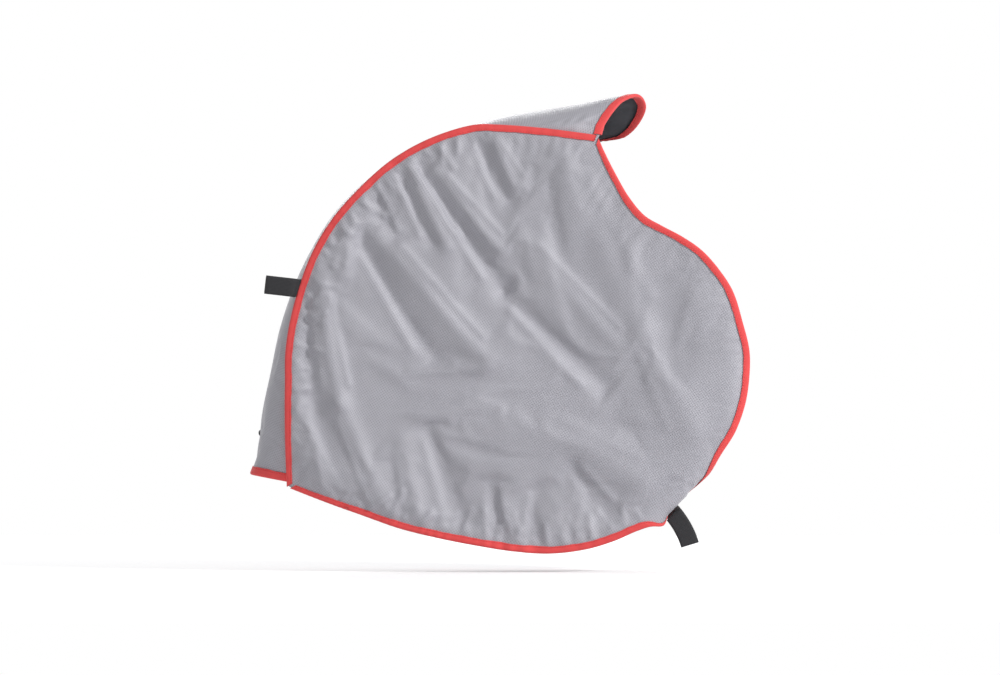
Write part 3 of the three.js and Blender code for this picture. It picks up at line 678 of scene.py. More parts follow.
def flat_lattice(rim, spacing):
    """Points on a triangular lattice inside a closed flat rim, and the faces between them."""
    tree = rim_tree(rim)
    angles = np.degrees(np.arctan2(rim[:, 1], rim[:, 0]))
    order = np.argsort(angles)
    reaches = np.hypot(rim[:, 0], rim[:, 1])
    inside = []
    rise = spacing * math.sqrt(3) / 2
    for row in range(-70, 71):
        for column in range(-70, 71):
            x, z = (column + 0.5 * (row % 2)) * spacing, row * rise
            limit = np.interp(math.degrees(math.atan2(z, x)), angles[order], reaches[order], period=360)
            if math.hypot(x, z) < limit and tree.find((x, z, 0))[2] > 0.6 * spacing:
                inside.append((x, z))
    points = [Vector(p) for p in np.vstack([rim, inside])]
    edges = [(i, (i + 1) % len(rim)) for i in range(len(rim))]
    made = delaunay_2d_cdt(points, edges, [], 1, 1e-4)
    return np.array([tuple(p) for p in made[0]]), made[2]


rim_count = int(PANEL_EDGE / SPACING)
rim_loop = np.vstack([seam_line[:-1], hem_line[:-1]])
rim_flat = resample(np.vstack([rim_loop, rim_loop[:1]]), rim_count + 1)[:-1][:, [0, 2]]
flat_points, flat_faces = flat_lattice(rim_flat, SPACING)
print("panel lattice has", len(flat_points), "points and", len(flat_faces), "faces")


# %% Distance to the sewn edge
def rim_distance(points, rim):
    """How far each flat point lies from the rim."""
    tree = rim_tree(rim)
    return np.array([tree.find((x, z, 0))[2] for x, z in points])


edge_distance = rim_distance(flat_points, rim_flat)
print("the lattice reaches", round(edge_distance.max()), "mm in from the edge")

# %% [markdown]
# ## Small folds
# Cloth that is pulled into big folds creases again along their flanks, and a gathered
# edge throws short puckers inwards. Both are loops: one over the big folds, one along
# the rim, with sines for the unevenness, so each run gives the same cloth.


# %% Creases and puckers
FLANK_SHIFT = 1.0
FLANK_WIDTH = 0.42
FLANK_RISE = 0.32
PUCKER_SPACING = 16.0
PUCKER_LENGTH = 30.0
PUCKER_WIDTH = 4.6
PUCKER_RISE = 2.6


def flank_creases():
    """A finer crease beside each big fold, a little turned from it, on alternate sides."""
    lines = []
    for number, (start, end, half_width, rise) in enumerate(fold_lines):
        beside = np.cross(unit(end - start), (0, 1, 0)) * half_width * FLANK_SHIFT * (-1) ** number
        first = start + 0.8 * beside + 0.12 * (end - start)
        last = end + 1.3 * beside - 0.15 * (end - start)
        lines.append((first, last, half_width * FLANK_WIDTH, abs(rise) * FLANK_RISE))
    return lines


def edge_puckers():
    """Short ridges that run in from the sewn edge, tight at the upper left and along the hem."""
    lines = []
    rim = resample(np.vstack([rim_loop, rim_loop[:1]]), int(PANEL_EDGE / PUCKER_SPACING))
    for number, point in enumerate(rim):
        angle = (math.degrees(math.atan2(point[2], point[0])) + 149) % 360 - 149
        reach = math.hypot(point[0], point[2])
        upper_left = smooth(angle, 85, 105) * (1 - smooth(angle, 185, 205))
        bottom = smooth(-angle, 50, 75) * (1 - smooth(-angle, 135, 146))
        tight = 0.1 + 0.9 * float(upper_left + bottom)
        length = PUCKER_LENGTH * (1 + 0.6 * math.sin(1.7 * number))
        inner = on_wheel(angle + 2.5 * math.sin(2.9 * number), reach - length)
        width = PUCKER_WIDTH * (1 + 0.25 * math.sin(2.3 * number))
        lines.append((point, inner, width, tight * PUCKER_RISE * (0.65 + 0.35 * math.sin(4.1 * number))))
    return lines


small_folds = flank_creases() + edge_puckers()


def flat_places(piece):
    """Where each point of a sheet lies on its flat cut, read back from the UV map."""
    mesh = piece.data
    corners = np.zeros(len(mesh.loops), np.int32)
    mesh.loops.foreach_get("vertex_index", corners)
    places = np.zeros(len(mesh.loops) * 2, np.float32)
    mesh.uv_layers["cut"].data.foreach_get("uv", places)
    flat = np.zeros((len(mesh.vertices), 2))
    flat[corners] = places.reshape(-1, 2)
    return flat


def crease_sheet(piece, side):
    """Lifts the fine mesh of a panel along its small folds, less towards the tape."""
    flat = flat_places(piece)
    angle = np.degrees(np.arctan2(flat[:, 1], flat[:, 0]))
    reach = np.maximum(np.hypot(flat[:, 0], flat[:, 1]), 0.5)
    free = smooth(rim_distance(flat, rim_flat), 5, 13) * (1 if side == FRONT else BACK_FOLD_SHARE)
    lift = along_lines(small_folds, angle, reach) * free
    write_points(piece, read_points(piece) + worn_normal(side, angle, reach) * lift[:, None])


print("small folds on a panel:", len(small_folds))


# %% Make and settle both panels
def held_by_webbing(side, points):
    """1 where a strap or a pad is sewn on and keeps the cloth flat."""
    centre, radius = ((205, -215), 26) if side == FRONT else ((158, -158), 40)
    gap = np.hypot(points[:, 0] - centre[0], points[:, 2] - centre[1])
    return 1 - smooth(gap, radius, radius + 12)


def side_panel(side, name):
    angle = np.degrees(np.arctan2(flat_points[:, 1], flat_points[:, 0]))
    reach = np.maximum(np.hypot(flat_points[:, 0], flat_points[:, 1]), 0.5)
    normals = worn_normal(side, angle, reach)
    start = worn(side, angle, reach)
    piece = new_mesh(name, start, flat_faces, flat_points)
    pinned = np.maximum(1 - smooth(edge_distance, 9.0, 17.0), held_by_webbing(side, start))
    settle(piece, pinned, 0.02, 26, gravity=0.1)
    moved = cap_moves(start, read_points(piece), normals, 3.0, 3.0, 3.0)
    write_points(piece, moved)
    facing = np.array(piece.data.polygons[0].normal) @ normals[piece.data.polygons[0].vertices[0]]
    if facing < 0:
        piece.data.flip_normals()
    apply_modifier(piece, "SUBSURF", levels=1, render_levels=1)
    crease_sheet(piece, side)
    apply_modifier(piece, "SOLIDIFY", thickness=CLOTH * MM, offset=0.0, use_even_offset=True)
    piece.data.shade_smooth()
    return piece


front_panel = finish_piece(side_panel(FRONT, "front_panel_cloth"), nylon, "front_side_panel", slot="nylon")
back_panel = finish_piece(side_panel(BACK, "back_panel_cloth"), nylon, "back_side_panel", slot="nylon")
print("panels have", len(front_panel.data.polygons), "faces each")

# %% [markdown]
# ## Edge tape
# A binding is one strip folded round the cut edge. Its two legs lie on the cloth, the
# fold is round, and a line of stitches presses a shallow groove into it. The strip's
# closed section is carried along the edge, station by station.


# %% Folded tape
TAPE = 0.8
TAPE_SLOT = CLOTH / 2 + 0.6
LAYER_GAP = 0.3
ELASTIC = 1.0
STITCH_SHARE = 0.24


def tape_section(front, back):
    """Corners of the section: share of the depth, offset from the cloth, reach past the edge."""
    legs = [0.0, 0.1, STITCH_SHARE, 0.4, 0.6, 0.8, 1.0]
    dome = {0.0: -0.12, 0.1: 0.05, STITCH_SHARE: -0.2, 0.4: 0.12, 0.6: 0.22, 0.8: 0.22, 1.0: 0.12}
    middle, half = (front - back) / 2, (front + back) / 2
    outer = [(s, front + TAPE + dome[s], 0.0) for s in legs]
    inner = [(s, front, 0.0) for s in (0.0, 0.4, 0.8, 1.0)]
    for turn in np.radians([60, 30, 0, -30, -60]):
        radius = half + TAPE + 0.1
        outer.append((1.0, middle + radius * math.sin(turn), radius * math.cos(turn)))
    for turn in np.radians([45, 0, -45]):
        inner.append((1.0, middle + half * math.sin(turn), half * math.cos(turn)))
    outer += [(s, -back - TAPE - dome[s], 0.0) for s in reversed(legs)]
    inner += [(s, -back, 0.0) for s in (1.0, 0.8, 0.4, 0.0)]
    return outer + inner[::-1]


def folded_tape(name, edge, edge_out, inner, inner_out, front, back):
    """A tape round the edge. edge and inner are rows of points with their outward normals."""
    depth = np.linalg.norm(edge - inner, axis=1, keepdims=True)
    beyond = (edge - inner) / depth
    run = np.concatenate([[0], np.cumsum(np.linalg.norm(np.diff(edge, axis=0), axis=1))])[:, None]
    ruffle = 0.06 * np.sin(run / 1.15 + 2 * np.sin(run / 9)) + 0.05 * np.sin(run / 3.3)
    wander = 0.03 * np.sin(run / 8.0) + 0.02 * np.sin(run / 3.1 + 1)
    section = tape_section(front, back)
    rings, uvs, girth = [], [], 0.0
    for share, offset, past in section:
        loose = share + wander * (1 - share)
        out = unit(inner_out + (edge_out - inner_out) * loose)
        base = inner + (edge - inner) * loose
        reach = offset + math.copysign(1, offset) * ruffle * (abs(offset) > front)
        ring = base + out * reach + beyond * past
        girth += np.linalg.norm((ring - rings[-1]), axis=1).mean() if rings else 0.0
        rings.append(ring)
        uvs.append(np.hstack([run, np.full_like(run, girth)]))
    points = np.stack(rings, axis=1).reshape(-1, 3)
    columns = len(section)
    faces = grid_faces(len(edge), columns, close_columns=True)
    faces += [tuple(range(columns)), tuple(range(len(points) - columns, len(points)))[::-1]]
    piece = new_mesh(name, points, faces, np.stack(uvs, axis=1).reshape(-1, 2))
    outward_check(piece)
    return piece


def trimmed(line, clearance):
    """A line without clearance millimetres at both ends."""
    steps = np.linalg.norm(np.diff(line, axis=0), axis=1)
    run = np.concatenate([[0], np.cumsum(steps)])
    wanted = np.linspace(clearance, run[-1] - clearance, int(run[-1] / 2.6))
    return np.stack([np.interp(wanted, run, axis) for axis in line.T], axis=-1)


def edge_rows(side, line, depth):
    edge, edge_out = station(side, line)
    inner, inner_out = station(side, line, depth)
    return edge, edge_out, inner, inner_out


print("tape section has", len(tape_section(TAPE_SLOT, TAPE_SLOT)), "corners")

# %% Seam and hem bindings, with the elastic inside the hem
ALLOWANCE = CLOTH + LAYER_GAP
seam_cut = trimmed(seam_line, 0.5)
hem_cut = trimmed(hem_line, 5.0)
bindings = {}
for side, word in ((FRONT, "front"), (BACK, "back")):
    rows = edge_rows(side, seam_cut, SEAM_TAPE)
    tape = folded_tape(f"{word}_seam_tape", *rows, TAPE_SLOT, TAPE_SLOT + ALLOWANCE)
    bindings[f"{word}_seam"] = (finish_piece(tape, red_tape, f"{word}_seam_binding", slot="red_tape"), rows)
    rows = edge_rows(side, hem_cut, HEM_TAPE)
    tape = folded_tape(f"{word}_hem_tape", *rows, TAPE_SLOT, TAPE_SLOT + ELASTIC + LAYER_GAP)
    bindings[f"{word}_hem"] = (finish_piece(tape, red_tape, f"{word}_hem_binding", slot="red_tape"), rows)
print("bound", len(bindings), "edges")


# %% Elastic
def flat_strip(name, edge, edge_out, inner, inner_out, low, thickness, columns=7):
    """A flat strip on the inner side of the cloth, from low to low + thickness."""
    rings, uvs = [], []
    run = np.concatenate([[0], np.cumsum(np.linalg.norm(np.diff(edge, axis=0), axis=1))])
    width = np.linalg.norm(edge - inner, axis=1).mean()
    shares = list(np.linspace(0, 1, columns))
    for share, depth in [(s, low) for s in shares] + [(s, low + thickness) for s in shares[::-1]]:
        out = unit(inner_out + (edge_out - inner_out) * share)
        rings.append(inner + (edge - inner) * share - out * depth)
        uvs.append(np.stack([run, np.full_like(run, share * width)], axis=-1))
    points = np.stack(rings, axis=1).reshape(-1, 3)
    count = 2 * columns
    faces = grid_faces(len(edge), count, close_columns=True)
    faces += [tuple(range(count)), tuple(range(len(points) - count, len(points)))[::-1]]
    piece = new_mesh(name, points, faces, np.stack(uvs, axis=1).reshape(-1, 2))
    outward_check(piece)
    return piece


for side, word in ((FRONT, "front"), (BACK, "back")):
    rows = edge_rows(side, hem_cut, 5.6)
    strip = flat_strip(f"{word}_elastic", *rows, CLOTH / 2 + LAYER_GAP, ELASTIC)
    finish_piece(strip, elastic_weave, f"{word}_hem_elastic", slot="elastic")
print("elastic runs", round(np.linalg.norm(np.diff(hem_cut, axis=0), axis=1).sum()), "mm in each hem")

# %% [markdown]
# ## The band over the tread
# The band is one long strip. Both its long edges turn in under the panels' edges, and
# between them it arches over the tread. At the upper mouth its end leans back, so its
# last stretch is blended into the mouth's own curve.

# %% Band rows
ALLOWANCE_DEPTH = 9.8
STAND_OFF = 5.0
MOUTH_TAPE = 9.5
MOUTH_BLEND = 120.0


def band_rows(row_count, column_count):
    """Rows of points over the band from the lower to the upper mouth, front to back."""
    line = resample(seam_line, row_count)
    crest = outline_curve(CREST_OUTLINE, 2000)
    front_edge, front_out = station(FRONT, line)
    run = np.concatenate([[0], np.cumsum(np.linalg.norm(np.diff(front_edge, axis=0), axis=1))])
    crest_run = np.linspace(0, run[-1], len(crest))
    top = np.stack([np.interp(run, crest_run, axis) for axis in crest.T], axis=-1)
    feet = []
    for side in (FRONT, BACK):
        edge, edge_out = station(side, line)
        root, root_out = station(side, line, ALLOWANCE_DEPTH)
        base = root - root_out * ALLOWANCE
        feet.append((edge - edge_out * ALLOWANCE, base, base - root_out * STAND_OFF))
    turn = np.linspace(0, math.pi, column_count)
    start, end = feet[0][2], feet[1][2]
    rise = (top - (start + end) / 2) * (1, 0, 1)
    arch = (
        start[:, None] + (end - start)[:, None] * ((1 - np.cos(turn)) / 2)[None, :, None]
        + rise[:, None] * np.sin(turn)[None, :, None]
    )
    mouth = along_knots([on_wheel(a, TYRE_RADIUS + s, y) for a, s, y in UPPER_MOUTH_EDGE], turn / math.pi)
    shift = (mouth - arch[-1]) * smooth(np.sin(turn), 0, 0.35)[:, None]
    arch = arch + (1 - smooth(run[-1] - run, 0, MOUTH_BLEND))[:, None, None] * shift
    return feet, arch, run


def row_normals(points):
    down = np.gradient(points, axis=0)
    across = np.gradient(points, axis=1)
    normals = unit(np.cross(down, across))
    outward = np.sum(normals * points * (1, 0, 1), axis=-1, keepdims=True)
    return normals * np.where(outward < 0, -1, 1)


BAND_ROWS, BAND_COLUMNS = 150, 37
band_feet, band_arch, band_run = band_rows(BAND_ROWS, BAND_COLUMNS)
band_out = row_normals(band_arch)
arch_steps = np.linalg.norm(np.diff(band_arch[BAND_ROWS // 2], axis=0), axis=1)
print("band arch is", round(arch_steps.sum()), "mm over the tread")


# %% Band cover
def turned_edge(foot, count=4):
    """The allowance from its cut edge to the fold, then round to the arch's first point."""
    tip, base, step = foot
    shares = np.linspace(0, 1, count)[:-1]
    flat = [tip + (base - tip) * share * 0.94 for share in shares]
    bulge = unit(base - tip) * 1.6
    round_part = [base + (step - base) * k + bulge * math.sin(math.pi * k) for k in (0.1, 0.5)]
    return flat + round_part


def band_cover():
    front = turned_edge(band_feet[0])
    back = turned_edge(band_feet[1])[::-1]
    rows = np.stack([*front, *np.moveaxis(band_arch, 1, 0), *back], axis=1)
    columns = rows.shape[1]
    across = np.concatenate([[0], np.cumsum(np.linalg.norm(np.diff(rows, axis=1), axis=2).mean(axis=0))])
    along = np.concatenate([[0], np.cumsum(np.linalg.norm(np.diff(rows, axis=0), axis=2).mean(axis=1))])
    uvs = np.stack(np.broadcast_arrays(along[:, None], across[None, :]), axis=-1).reshape(-1, 2)
    points = rows.reshape(-1, 3)
    piece = new_mesh("band_cloth", points, grid_faces(BAND_ROWS, columns), uvs)
    normals = row_normals(rows).reshape(-1, 3)
    row, column = np.divmod(np.arange(len(points)), columns)
    lead = len(front)
    from_seam = np.minimum(column - lead, columns - 1 - lead - column) * 6.0
    from_mouth = np.minimum(band_run[row], band_run[-1] - band_run[row])
    free = smooth(from_seam, 2, 14) * smooth(from_mouth, 10, 26)
    settle(piece, 1 - free, 0.03, 30)
    write_points(piece, cap_moves(points, read_points(piece), normals, 0.25, 4.0, 2.5))
    return piece, uvs


band_cloth, band_uvs = band_cover()
print("band cover has", len(band_cloth.data.polygons), "faces before its last subdivision")


# %% Gland hole, thickness and finish of the band cover
def long_axis(node):
    """Middle and direction of a round node, read from its points; outwards is up."""
    points = np.array([v.co for v in node.data.vertices]) / MM
    middle = points.mean(axis=0)
    direction = np.linalg.svd(points - middle, full_matrices=False)[2][0]
    if direction @ (middle * (1, 0, 1)) < 0:
        direction = -direction
    return middle, direction


gland_middle, gland_axis = long_axis(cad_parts["lead_gland"])


def cut_round_hole(piece, middle, axis, radius):
    import bmesh

    work = bmesh.new()
    work.from_mesh(piece.data)
    doomed = []
    for face in work.faces:
        away = np.array(face.calc_center_median()) / MM - middle
        if np.linalg.norm(away - (away @ axis) * axis) < radius and abs(away @ axis) < 30:
            doomed.append(face)
    bmesh.ops.delete(work, geom=doomed, context="FACES")
    work.to_mesh(piece.data)
    work.free()
    return len(doomed)


apply_modifier(band_cloth, "SUBSURF", levels=1, render_levels=1)
holes = cut_round_hole(band_cloth, gland_middle, gland_axis, 6.5)
apply_modifier(band_cloth, "SOLIDIFY", thickness=CLOTH * MM, offset=0.0, use_even_offset=False)
band_cloth.data.shade_smooth()
outward_check(band_cloth)
finish_piece(band_cloth, nylon, "band_cover", slot="nylon")
print("cut", holes, "faces for the gland; band cover has", len(band_cloth.data.polygons), "faces")


# %% Lining
LINING_TRIM = 0.04


def lining():
    """The dark cloth under the heating layers; it comes up to the cover in both mouths."""
    from_mouth = np.minimum(band_run, band_run[-1] - band_run)
    turn = np.linspace(0, math.pi, BAND_COLUMNS)
    deep = 7.95 + 2.3 * np.sin(6 * turn) ** 2
    share = np.clip((from_mouth - MOUTH_TAPE) / 28, 0, 1)[:, None]
    wrinkle = 0.5 * np.sin(band_run[:, None] / 9 + 2 * np.sin(turn * 3)) * share * (1 - share) * 4
    depth = 0.75 + (deep[None, :] - 0.75) * share + wrinkle
    rows = band_arch - band_out * depth[..., None]
    keep = np.linspace(LINING_TRIM, 1 - LINING_TRIM, BAND_COLUMNS) * (BAND_COLUMNS - 1)
    low = np.minimum(keep.astype(int), BAND_COLUMNS - 2)
    part = (keep - low)[None, :, None]
    rows = rows[:, low] * (1 - part) + rows[:, low + 1] * part
    across = np.concatenate([[0], np.cumsum(np.linalg.norm(np.diff(rows, axis=1), axis=2).mean(axis=0))])
    along = np.concatenate([[0], np.cumsum(np.linalg.norm(np.diff(rows, axis=0), axis=2).mean(axis=1))])
    uvs = np.stack(np.broadcast_arrays(along[:, None], across[None, :]), axis=-1).reshape(-1, 2)
    piece = new_mesh("dark_lining_cloth", rows.reshape(-1, 3), grid_faces(BAND_ROWS, BAND_COLUMNS), uvs)
    apply_modifier(piece, "SUBSURF", levels=1, render_levels=1)
    apply_modifier(piece, "SOLIDIFY", thickness=0.7 * MM, offset=-1.0)
    outward_check(piece)
    piece.data.shade_smooth()
    return piece, uvs


lining_piece, lining_uvs = lining()
finish_piece(lining_piece, lining_cloth, "band_lining", slot="lining")
print("lining has", len(lining_piece.data.polygons), "faces")


# %% Mouth bindings
def row_at(distance, upper):
    """Points and normals of the band's arch at a distance from one mouth."""
    where = band_run[-1] - distance if upper else distance
    index = np.interp(where, band_run, np.arange(BAND_ROWS))
    low = min(int(index), BAND_ROWS - 2)
    share = index - low
    points = band_arch[low] * (1 - share) + band_arch[low + 1] * share
    return points, band_out[low] * (1 - share) + band_out[low + 1] * share


def mouth_tape(name, upper):
    lines = []
    for distance in (0.0, MOUTH_TAPE):
        points, out = row_at(distance, upper)
        keep = np.linspace(0.05, 0.95, 90) * (BAND_COLUMNS - 1)
        lines += [np.stack([np.interp(keep, np.arange(BAND_COLUMNS), axis) for axis in values.T], axis=-1)
                  for values in (points, unit(out))]
    edge, edge_out, inner, inner_out = lines
    inner = edge + unit(inner - edge) * MOUTH_TAPE
    tape = folded_tape(name, edge, edge_out, inner, inner_out, TAPE_SLOT, TAPE_SLOT + 1.0)
    return tape, (edge, edge_out, inner, inner_out)


for word, upper in (("lower", False), ("upper", True)):
    tape, rows = mouth_tape(f"{word}_mouth_tape", upper)
    bindings[f"{word}_mouth"] = (finish_piece(tape, red_tape, f"{word}_mouth_binding", slot="red_tape"), rows)
print("mouths bound")

# %% [markdown]
# ## Stitches
# A machine stitch is a short thread that dives into the tape at both ends. One stitch is
# a bent tube of a few faces, and a seam is that stitch again and again, kept in one mesh.


# %% Stitch rows
def stitch_row(name, line, out, material, pitch=3.6, length=2.7, radius=0.3):
    """One mesh of separate stitches along a line of points that lie on the surface."""
    steps = np.linalg.norm(np.diff(line, axis=0), axis=1)
    run = np.concatenate([[0], np.cumsum(steps)])
    starts = np.arange(0.4, run[-1] - length, pitch)
    points, faces = [], []
    corners = 5
    for start in starts:
        for share, lift in ((0.0, -0.35), (0.2, 0.12), (0.8, 0.12), (1.0, -0.35)):
            where = start + share * length
            centre = np.array([np.interp(where, run, axis) for axis in line.T])
            ahead = np.array([np.interp(where + 0.5, run, axis) for axis in line.T])
            up = unit(np.array([np.interp(where, run, axis) for axis in out.T]))
            if np.linalg.norm(ahead - centre) < 1e-6:
                ahead = centre + (line[-1] - line[-2])
            side = unit(np.cross(ahead - centre, up))
            for corner in range(corners):
                turn = 2 * math.pi * corner / corners
                points.append(centre + up * (lift + radius * math.sin(turn)) + side * radius * math.cos(turn))
        base = len(points) - 4 * corners
        for ring in range(3):
            for corner in range(corners):
                a, b = base + ring * corners + corner, base + ring * corners + (corner + 1) % corners
                faces.append((a, b, b + corners, a + corners))
        last = base + 3 * corners
        faces += [tuple(range(base, base + corners))[::-1], tuple(range(last, last + corners))]
    piece = new_mesh(name, points, faces)
    outward_check(piece)
    return finish_piece(piece, material)


def tape_stitches(name, rows, front, back):
    edge, edge_out, inner, inner_out = rows
    line = inner + (edge - inner) * STITCH_SHARE
    out = unit(inner_out + (edge_out - inner_out) * STITCH_SHARE)
    top = stitch_row(f"{name}_stitches", line + out * (front + TAPE - 0.15), out, red_thread)
    under = stitch_row(f"{name}_under_stitches", line - out * (back + TAPE - 0.15), -out, red_thread)
    return [top, under]


for word in bindings:
    extra = ALLOWANCE if "seam" in word else ELASTIC + LAYER_GAP if "hem" in word else 1.0
    tape_stitches(word, bindings[word][1], TAPE_SLOT, TAPE_SLOT + extra)

# %% [markdown]
# ## Webbing
# The pull loop and the strap are one kind of webbing, 25 mm wide. A strap is a rounded
# flat section carried along three rails: its two edges and its middle.


# %% Webbing helper
WEBBING_WIDTH, WEBBING = 25.0, 1.6


def webbing_strip(name, left, middle, right, count):
    """A strap with rounded edges that follows three smooth rails."""
    rails = [curve_through(rail, count) for rail in (left, middle, right)]
    across = unit(rails[2] - rails[0])
    ahead = unit(np.gradient(rails[1], axis=0))
    out = unit(np.cross(ahead, across))
    run = np.concatenate([[0], np.cumsum(np.linalg.norm(np.diff(rails[1], axis=0), axis=1))])
    half = WEBBING / 2
    shares = np.linspace(-1, 1, 9)
    section = [(s, half * (1 if abs(s) < 0.99 else 0.55)) for s in shares]
    section += [(s, -lift) for s, lift in section[::-1]]
    rings, uvs = [], []
    for share, lift in section:
        weights = (share * (share - 1) / 2, 1 - share * share, share * (share + 1) / 2)
        base = sum(w * rail for w, rail in zip(weights, rails))
        rings.append(base + out * lift)
        uvs.append(np.stack([run, np.full_like(run, share * WEBBING_WIDTH / 2)], axis=-1))
    points = np.stack(rings, axis=1).reshape(-1, 3)
    columns = len(section)
    faces = grid_faces(count, columns, close_columns=True)
    faces += [tuple(range(columns)), tuple(range(len(points) - columns, len(points)))[::-1]]
    piece = new_mesh(name, points, faces, np.stack(uvs, axis=1).reshape(-1, 2))
    outward_check(piece)
    return piece


def seam_point(angle):
    index = np.argmin(np.abs(np.degrees(np.arctan2(seam_line[:, 2], seam_line[:, 0])) % 360 - angle))
    near = seam_line[index - 1:index + 2]
    edge, _ = station(FRONT, near)
    inner, _ = station(FRONT, near, SEAM_TAPE)
    return edge[1], unit(edge[1] - inner[1]), unit((edge[2] - edge[0]) * (1, 0, 1))


# %% Pull loop
LOOP_ANGLE, LOOP_TILT, LOOP_REACH, LOOP_HALF_GAP = 164, 173.5, 45.0, 3.0


def pull_loop():
    edge, beyond, seam_way = seam_point(LOOP_ANGLE)
    root = edge + beyond * (0.9 + TAPE + 0.5)
    outward, across = on_wheel(LOOP_TILT, 1.0), on_wheel(LOOP_TILT + 90, 1.0)
    middle = LOOP_HALF_GAP + WEBBING / 2
    nose, start = LOOP_REACH - middle, WEBBING / 2 + LAYER_GAP
    profile = [(0, start), (5, start * 1.5), (10, middle), (nose * 0.6, middle * 1.05), (nose, middle)]
    profile += [(nose + middle * math.cos(t), middle * math.sin(t)) for t in np.radians([55, 18, -18, -55])]
    profile += [(reach, -lift) for reach, lift in profile[4::-1]]
    rails = [[], [], []]
    for reach, lift in profile:
        share = float(smooth(reach, 0, 12))
        way = unit(across * share - seam_way * (1 - share))
        centre = root + outward * reach + np.array([0, -1, 0]) * lift
        for rail, offset in zip(rails, (-0.5, 0, 0.5)):
            rail.append(centre + way * offset * WEBBING_WIDTH)
    return webbing_strip("loop_webbing", *rails, 110)


loop_piece = pull_loop()
finish_piece(loop_piece, webbing, "pull_loop", slot="webbing")
print("pull loop stands", LOOP_REACH, "mm out of the seam")


# %% Strap
STRAP_ANGLE, STRAP_FREE, STRAP_TILTS, STRAP_BEND = -45.9, 46.0, (-51.0, -73.0), 4.0
STRAP_LIFT = TAPE_SLOT + TAPE + 0.875 + WEBBING / 2


def hem_reach(angle):
    return float(np.interp(angle, rim_angle[rim_order], rim_reach[rim_order]))


def strap():
    rails = [[], [], []]
    spread = math.degrees(WEBBING_WIDTH / 2 / TYRE_RADIUS)
    reach = hem_reach(STRAP_ANGLE)
    for depths in range(3):
        for rail, share in zip(rails, (-0.5, 0, 0.5)):
            angle = STRAP_ANGLE + 2 * share * spread
            here = hem_reach(STRAP_ANGLE) - 6.0 * depths
            point, out = worn(FRONT, angle, here), worn_normal(FRONT, angle, here)
            rail.append(point + out * (STRAP_LIFT + 0.7 * depths))
    outward = on_wheel(STRAP_ANGLE, 1.0)
    point, out = worn(FRONT, STRAP_ANGLE, reach - 12.0), worn_normal(FRONT, STRAP_ANGLE, reach - 12.0)
    seat = point + out * STRAP_LIFT
    start = seat + outward * STRAP_BEND
    start[1] = seat[1] - STRAP_BEND
    bend = start - outward * STRAP_BEND * 0.4
    bend[1] = start[1] + STRAP_BEND * 0.3
    for rail, share in zip(rails, (-0.5, 0, 0.5)):
        rail.append(bend + on_wheel(STRAP_ANGLE + 90, 1.0) * share * WEBBING_WIDTH)
    for step in np.linspace(0, 1, 6):
        tilt = STRAP_TILTS[0] + (STRAP_TILTS[1] - STRAP_TILTS[0]) * step
        chord = STRAP_TILTS[0] + (STRAP_TILTS[1] - STRAP_TILTS[0]) * step / 2
        centre = start + on_wheel(chord, 1.0) * STRAP_FREE * step
        for rail, share in zip(rails, (-0.5, 0, 0.5)):
            rail.append(centre + on_wheel(tilt + 90, 1.0) * share * WEBBING_WIDTH)
    return webbing_strip("strap_webbing", *rails, 90)


strap_piece = strap()
finish_piece(strap_piece, webbing, "strap", slot="webbing")
print("strap hangs", STRAP_FREE, "mm free")

# %% [markdown]
# ## Hidden layers
# These keep the frame's own shape: a flat mat, a flat wire and a wadding strip need no
# more. They only take their finish.

# %% Finishes on the frame's own nodes
for node, material in (
    ("band_wadding", felt), ("heating_mat", silicone_mat), ("heating_wire", wire_skin),
    ("thermostat", switch_case), ("lead_gland", rubber), ("strap_hook_pad", hook_pile),
    ("panel_loop_pad", loop_pile),
):
    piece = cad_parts[node]
    piece.data.materials.clear()
    piece.data.materials.append(material)
print("dressed the hidden layers")

# %% [markdown]
# ## Floor, backdrop and light
# The floor is pale and wide, where the tyre would stand. A broad lamp from the front and
# the upper right shows the weave and the folds, a weaker one fills the other side, and a
# third stands behind for the back panel. The white behind the warmer is the world seen
# by the camera alone, so it adds no light.


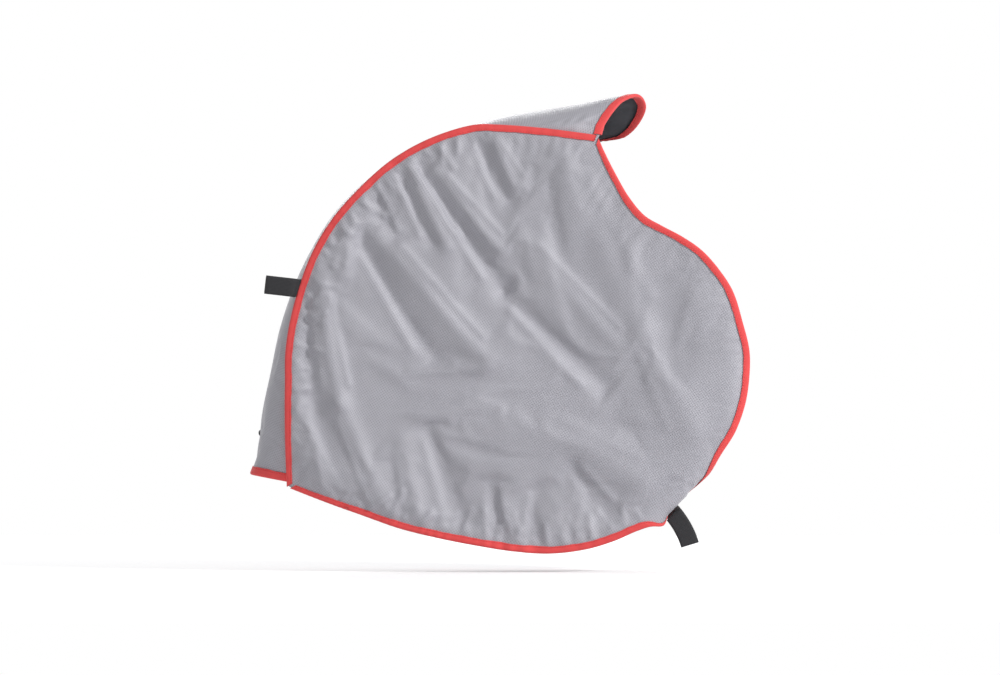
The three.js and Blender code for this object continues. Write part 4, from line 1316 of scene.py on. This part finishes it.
# %% Stage
def pale_floor():
    bpy.ops.object.select_all(action="DESELECT")
    bpy.ops.mesh.primitive_plane_add(size=3.2, location=(0, 0, -0.300))
    floor = bpy.context.object
    floor.name = "floor"
    finish = Finish("pale_floor", (0.86, 0.86, 0.87), 0.9)
    path = finish.tree.nodes.new("ShaderNodeLightPath")
    seen = Signal(finish, path.outputs["Is Camera Ray"]) + Signal(finish, path.outputs["Is Glossy Ray"])
    glow = finish.blend(seen, (0, 0, 0), (0.4, 0.4, 0.4))
    finish.set("Emission Color", glow)
    finish.set("Emission Strength", 1.0)
    floor.data.materials.append(finish.material)
    return floor


def white_world(ambient):
    world = bpy.data.worlds.new("studio")
    bpy.context.scene.world = world
    world.use_nodes = True
    tree = world.node_tree
    back = tree.nodes["Background"]
    path = tree.nodes.new("ShaderNodeLightPath")
    seen = [path.outputs[name] for name in ("Is Camera Ray", "Is Glossy Ray", "Is Transmission Ray")]
    total = seen[0]
    for socket in seen[1:]:
        either = tree.nodes.new("ShaderNodeMath")
        either.operation = "MAXIMUM"
        tree.links.new(total, either.inputs[0])
        tree.links.new(socket, either.inputs[1])
        total = either.outputs[0]
    level = tree.nodes.new("ShaderNodeMapRange")
    level.inputs["To Min"].default_value = ambient
    tree.links.new(total, level.inputs["Value"])
    tree.links.new(level.outputs["Result"], back.inputs["Strength"])
    back.inputs["Color"].default_value = (1, 1, 1, 1)


def lamp(name, place, size, power, target=(0, 0, 0)):
    light = bpy.data.lights.new(name, "AREA")
    light.size = size
    light.energy = power
    holder = bpy.data.objects.new(name, light)
    bpy.context.scene.collection.objects.link(holder)
    holder.location = place
    holder.rotation_euler = (Vector(target) - Vector(place)).to_track_quat("-Z", "Y").to_euler()


pale_floor()
white_world(0.25)
lamp("key", (3.4, -2.2, 2.0), 0.9, 150)
lamp("fill", (-2.6, -3.2, 0.8), 2.2, 20)
lamp("rear", (-1.0, 3.2, 2.0), 2.2, 70)
bpy.context.scene.view_settings.view_transform = "Standard"
print("stage set")
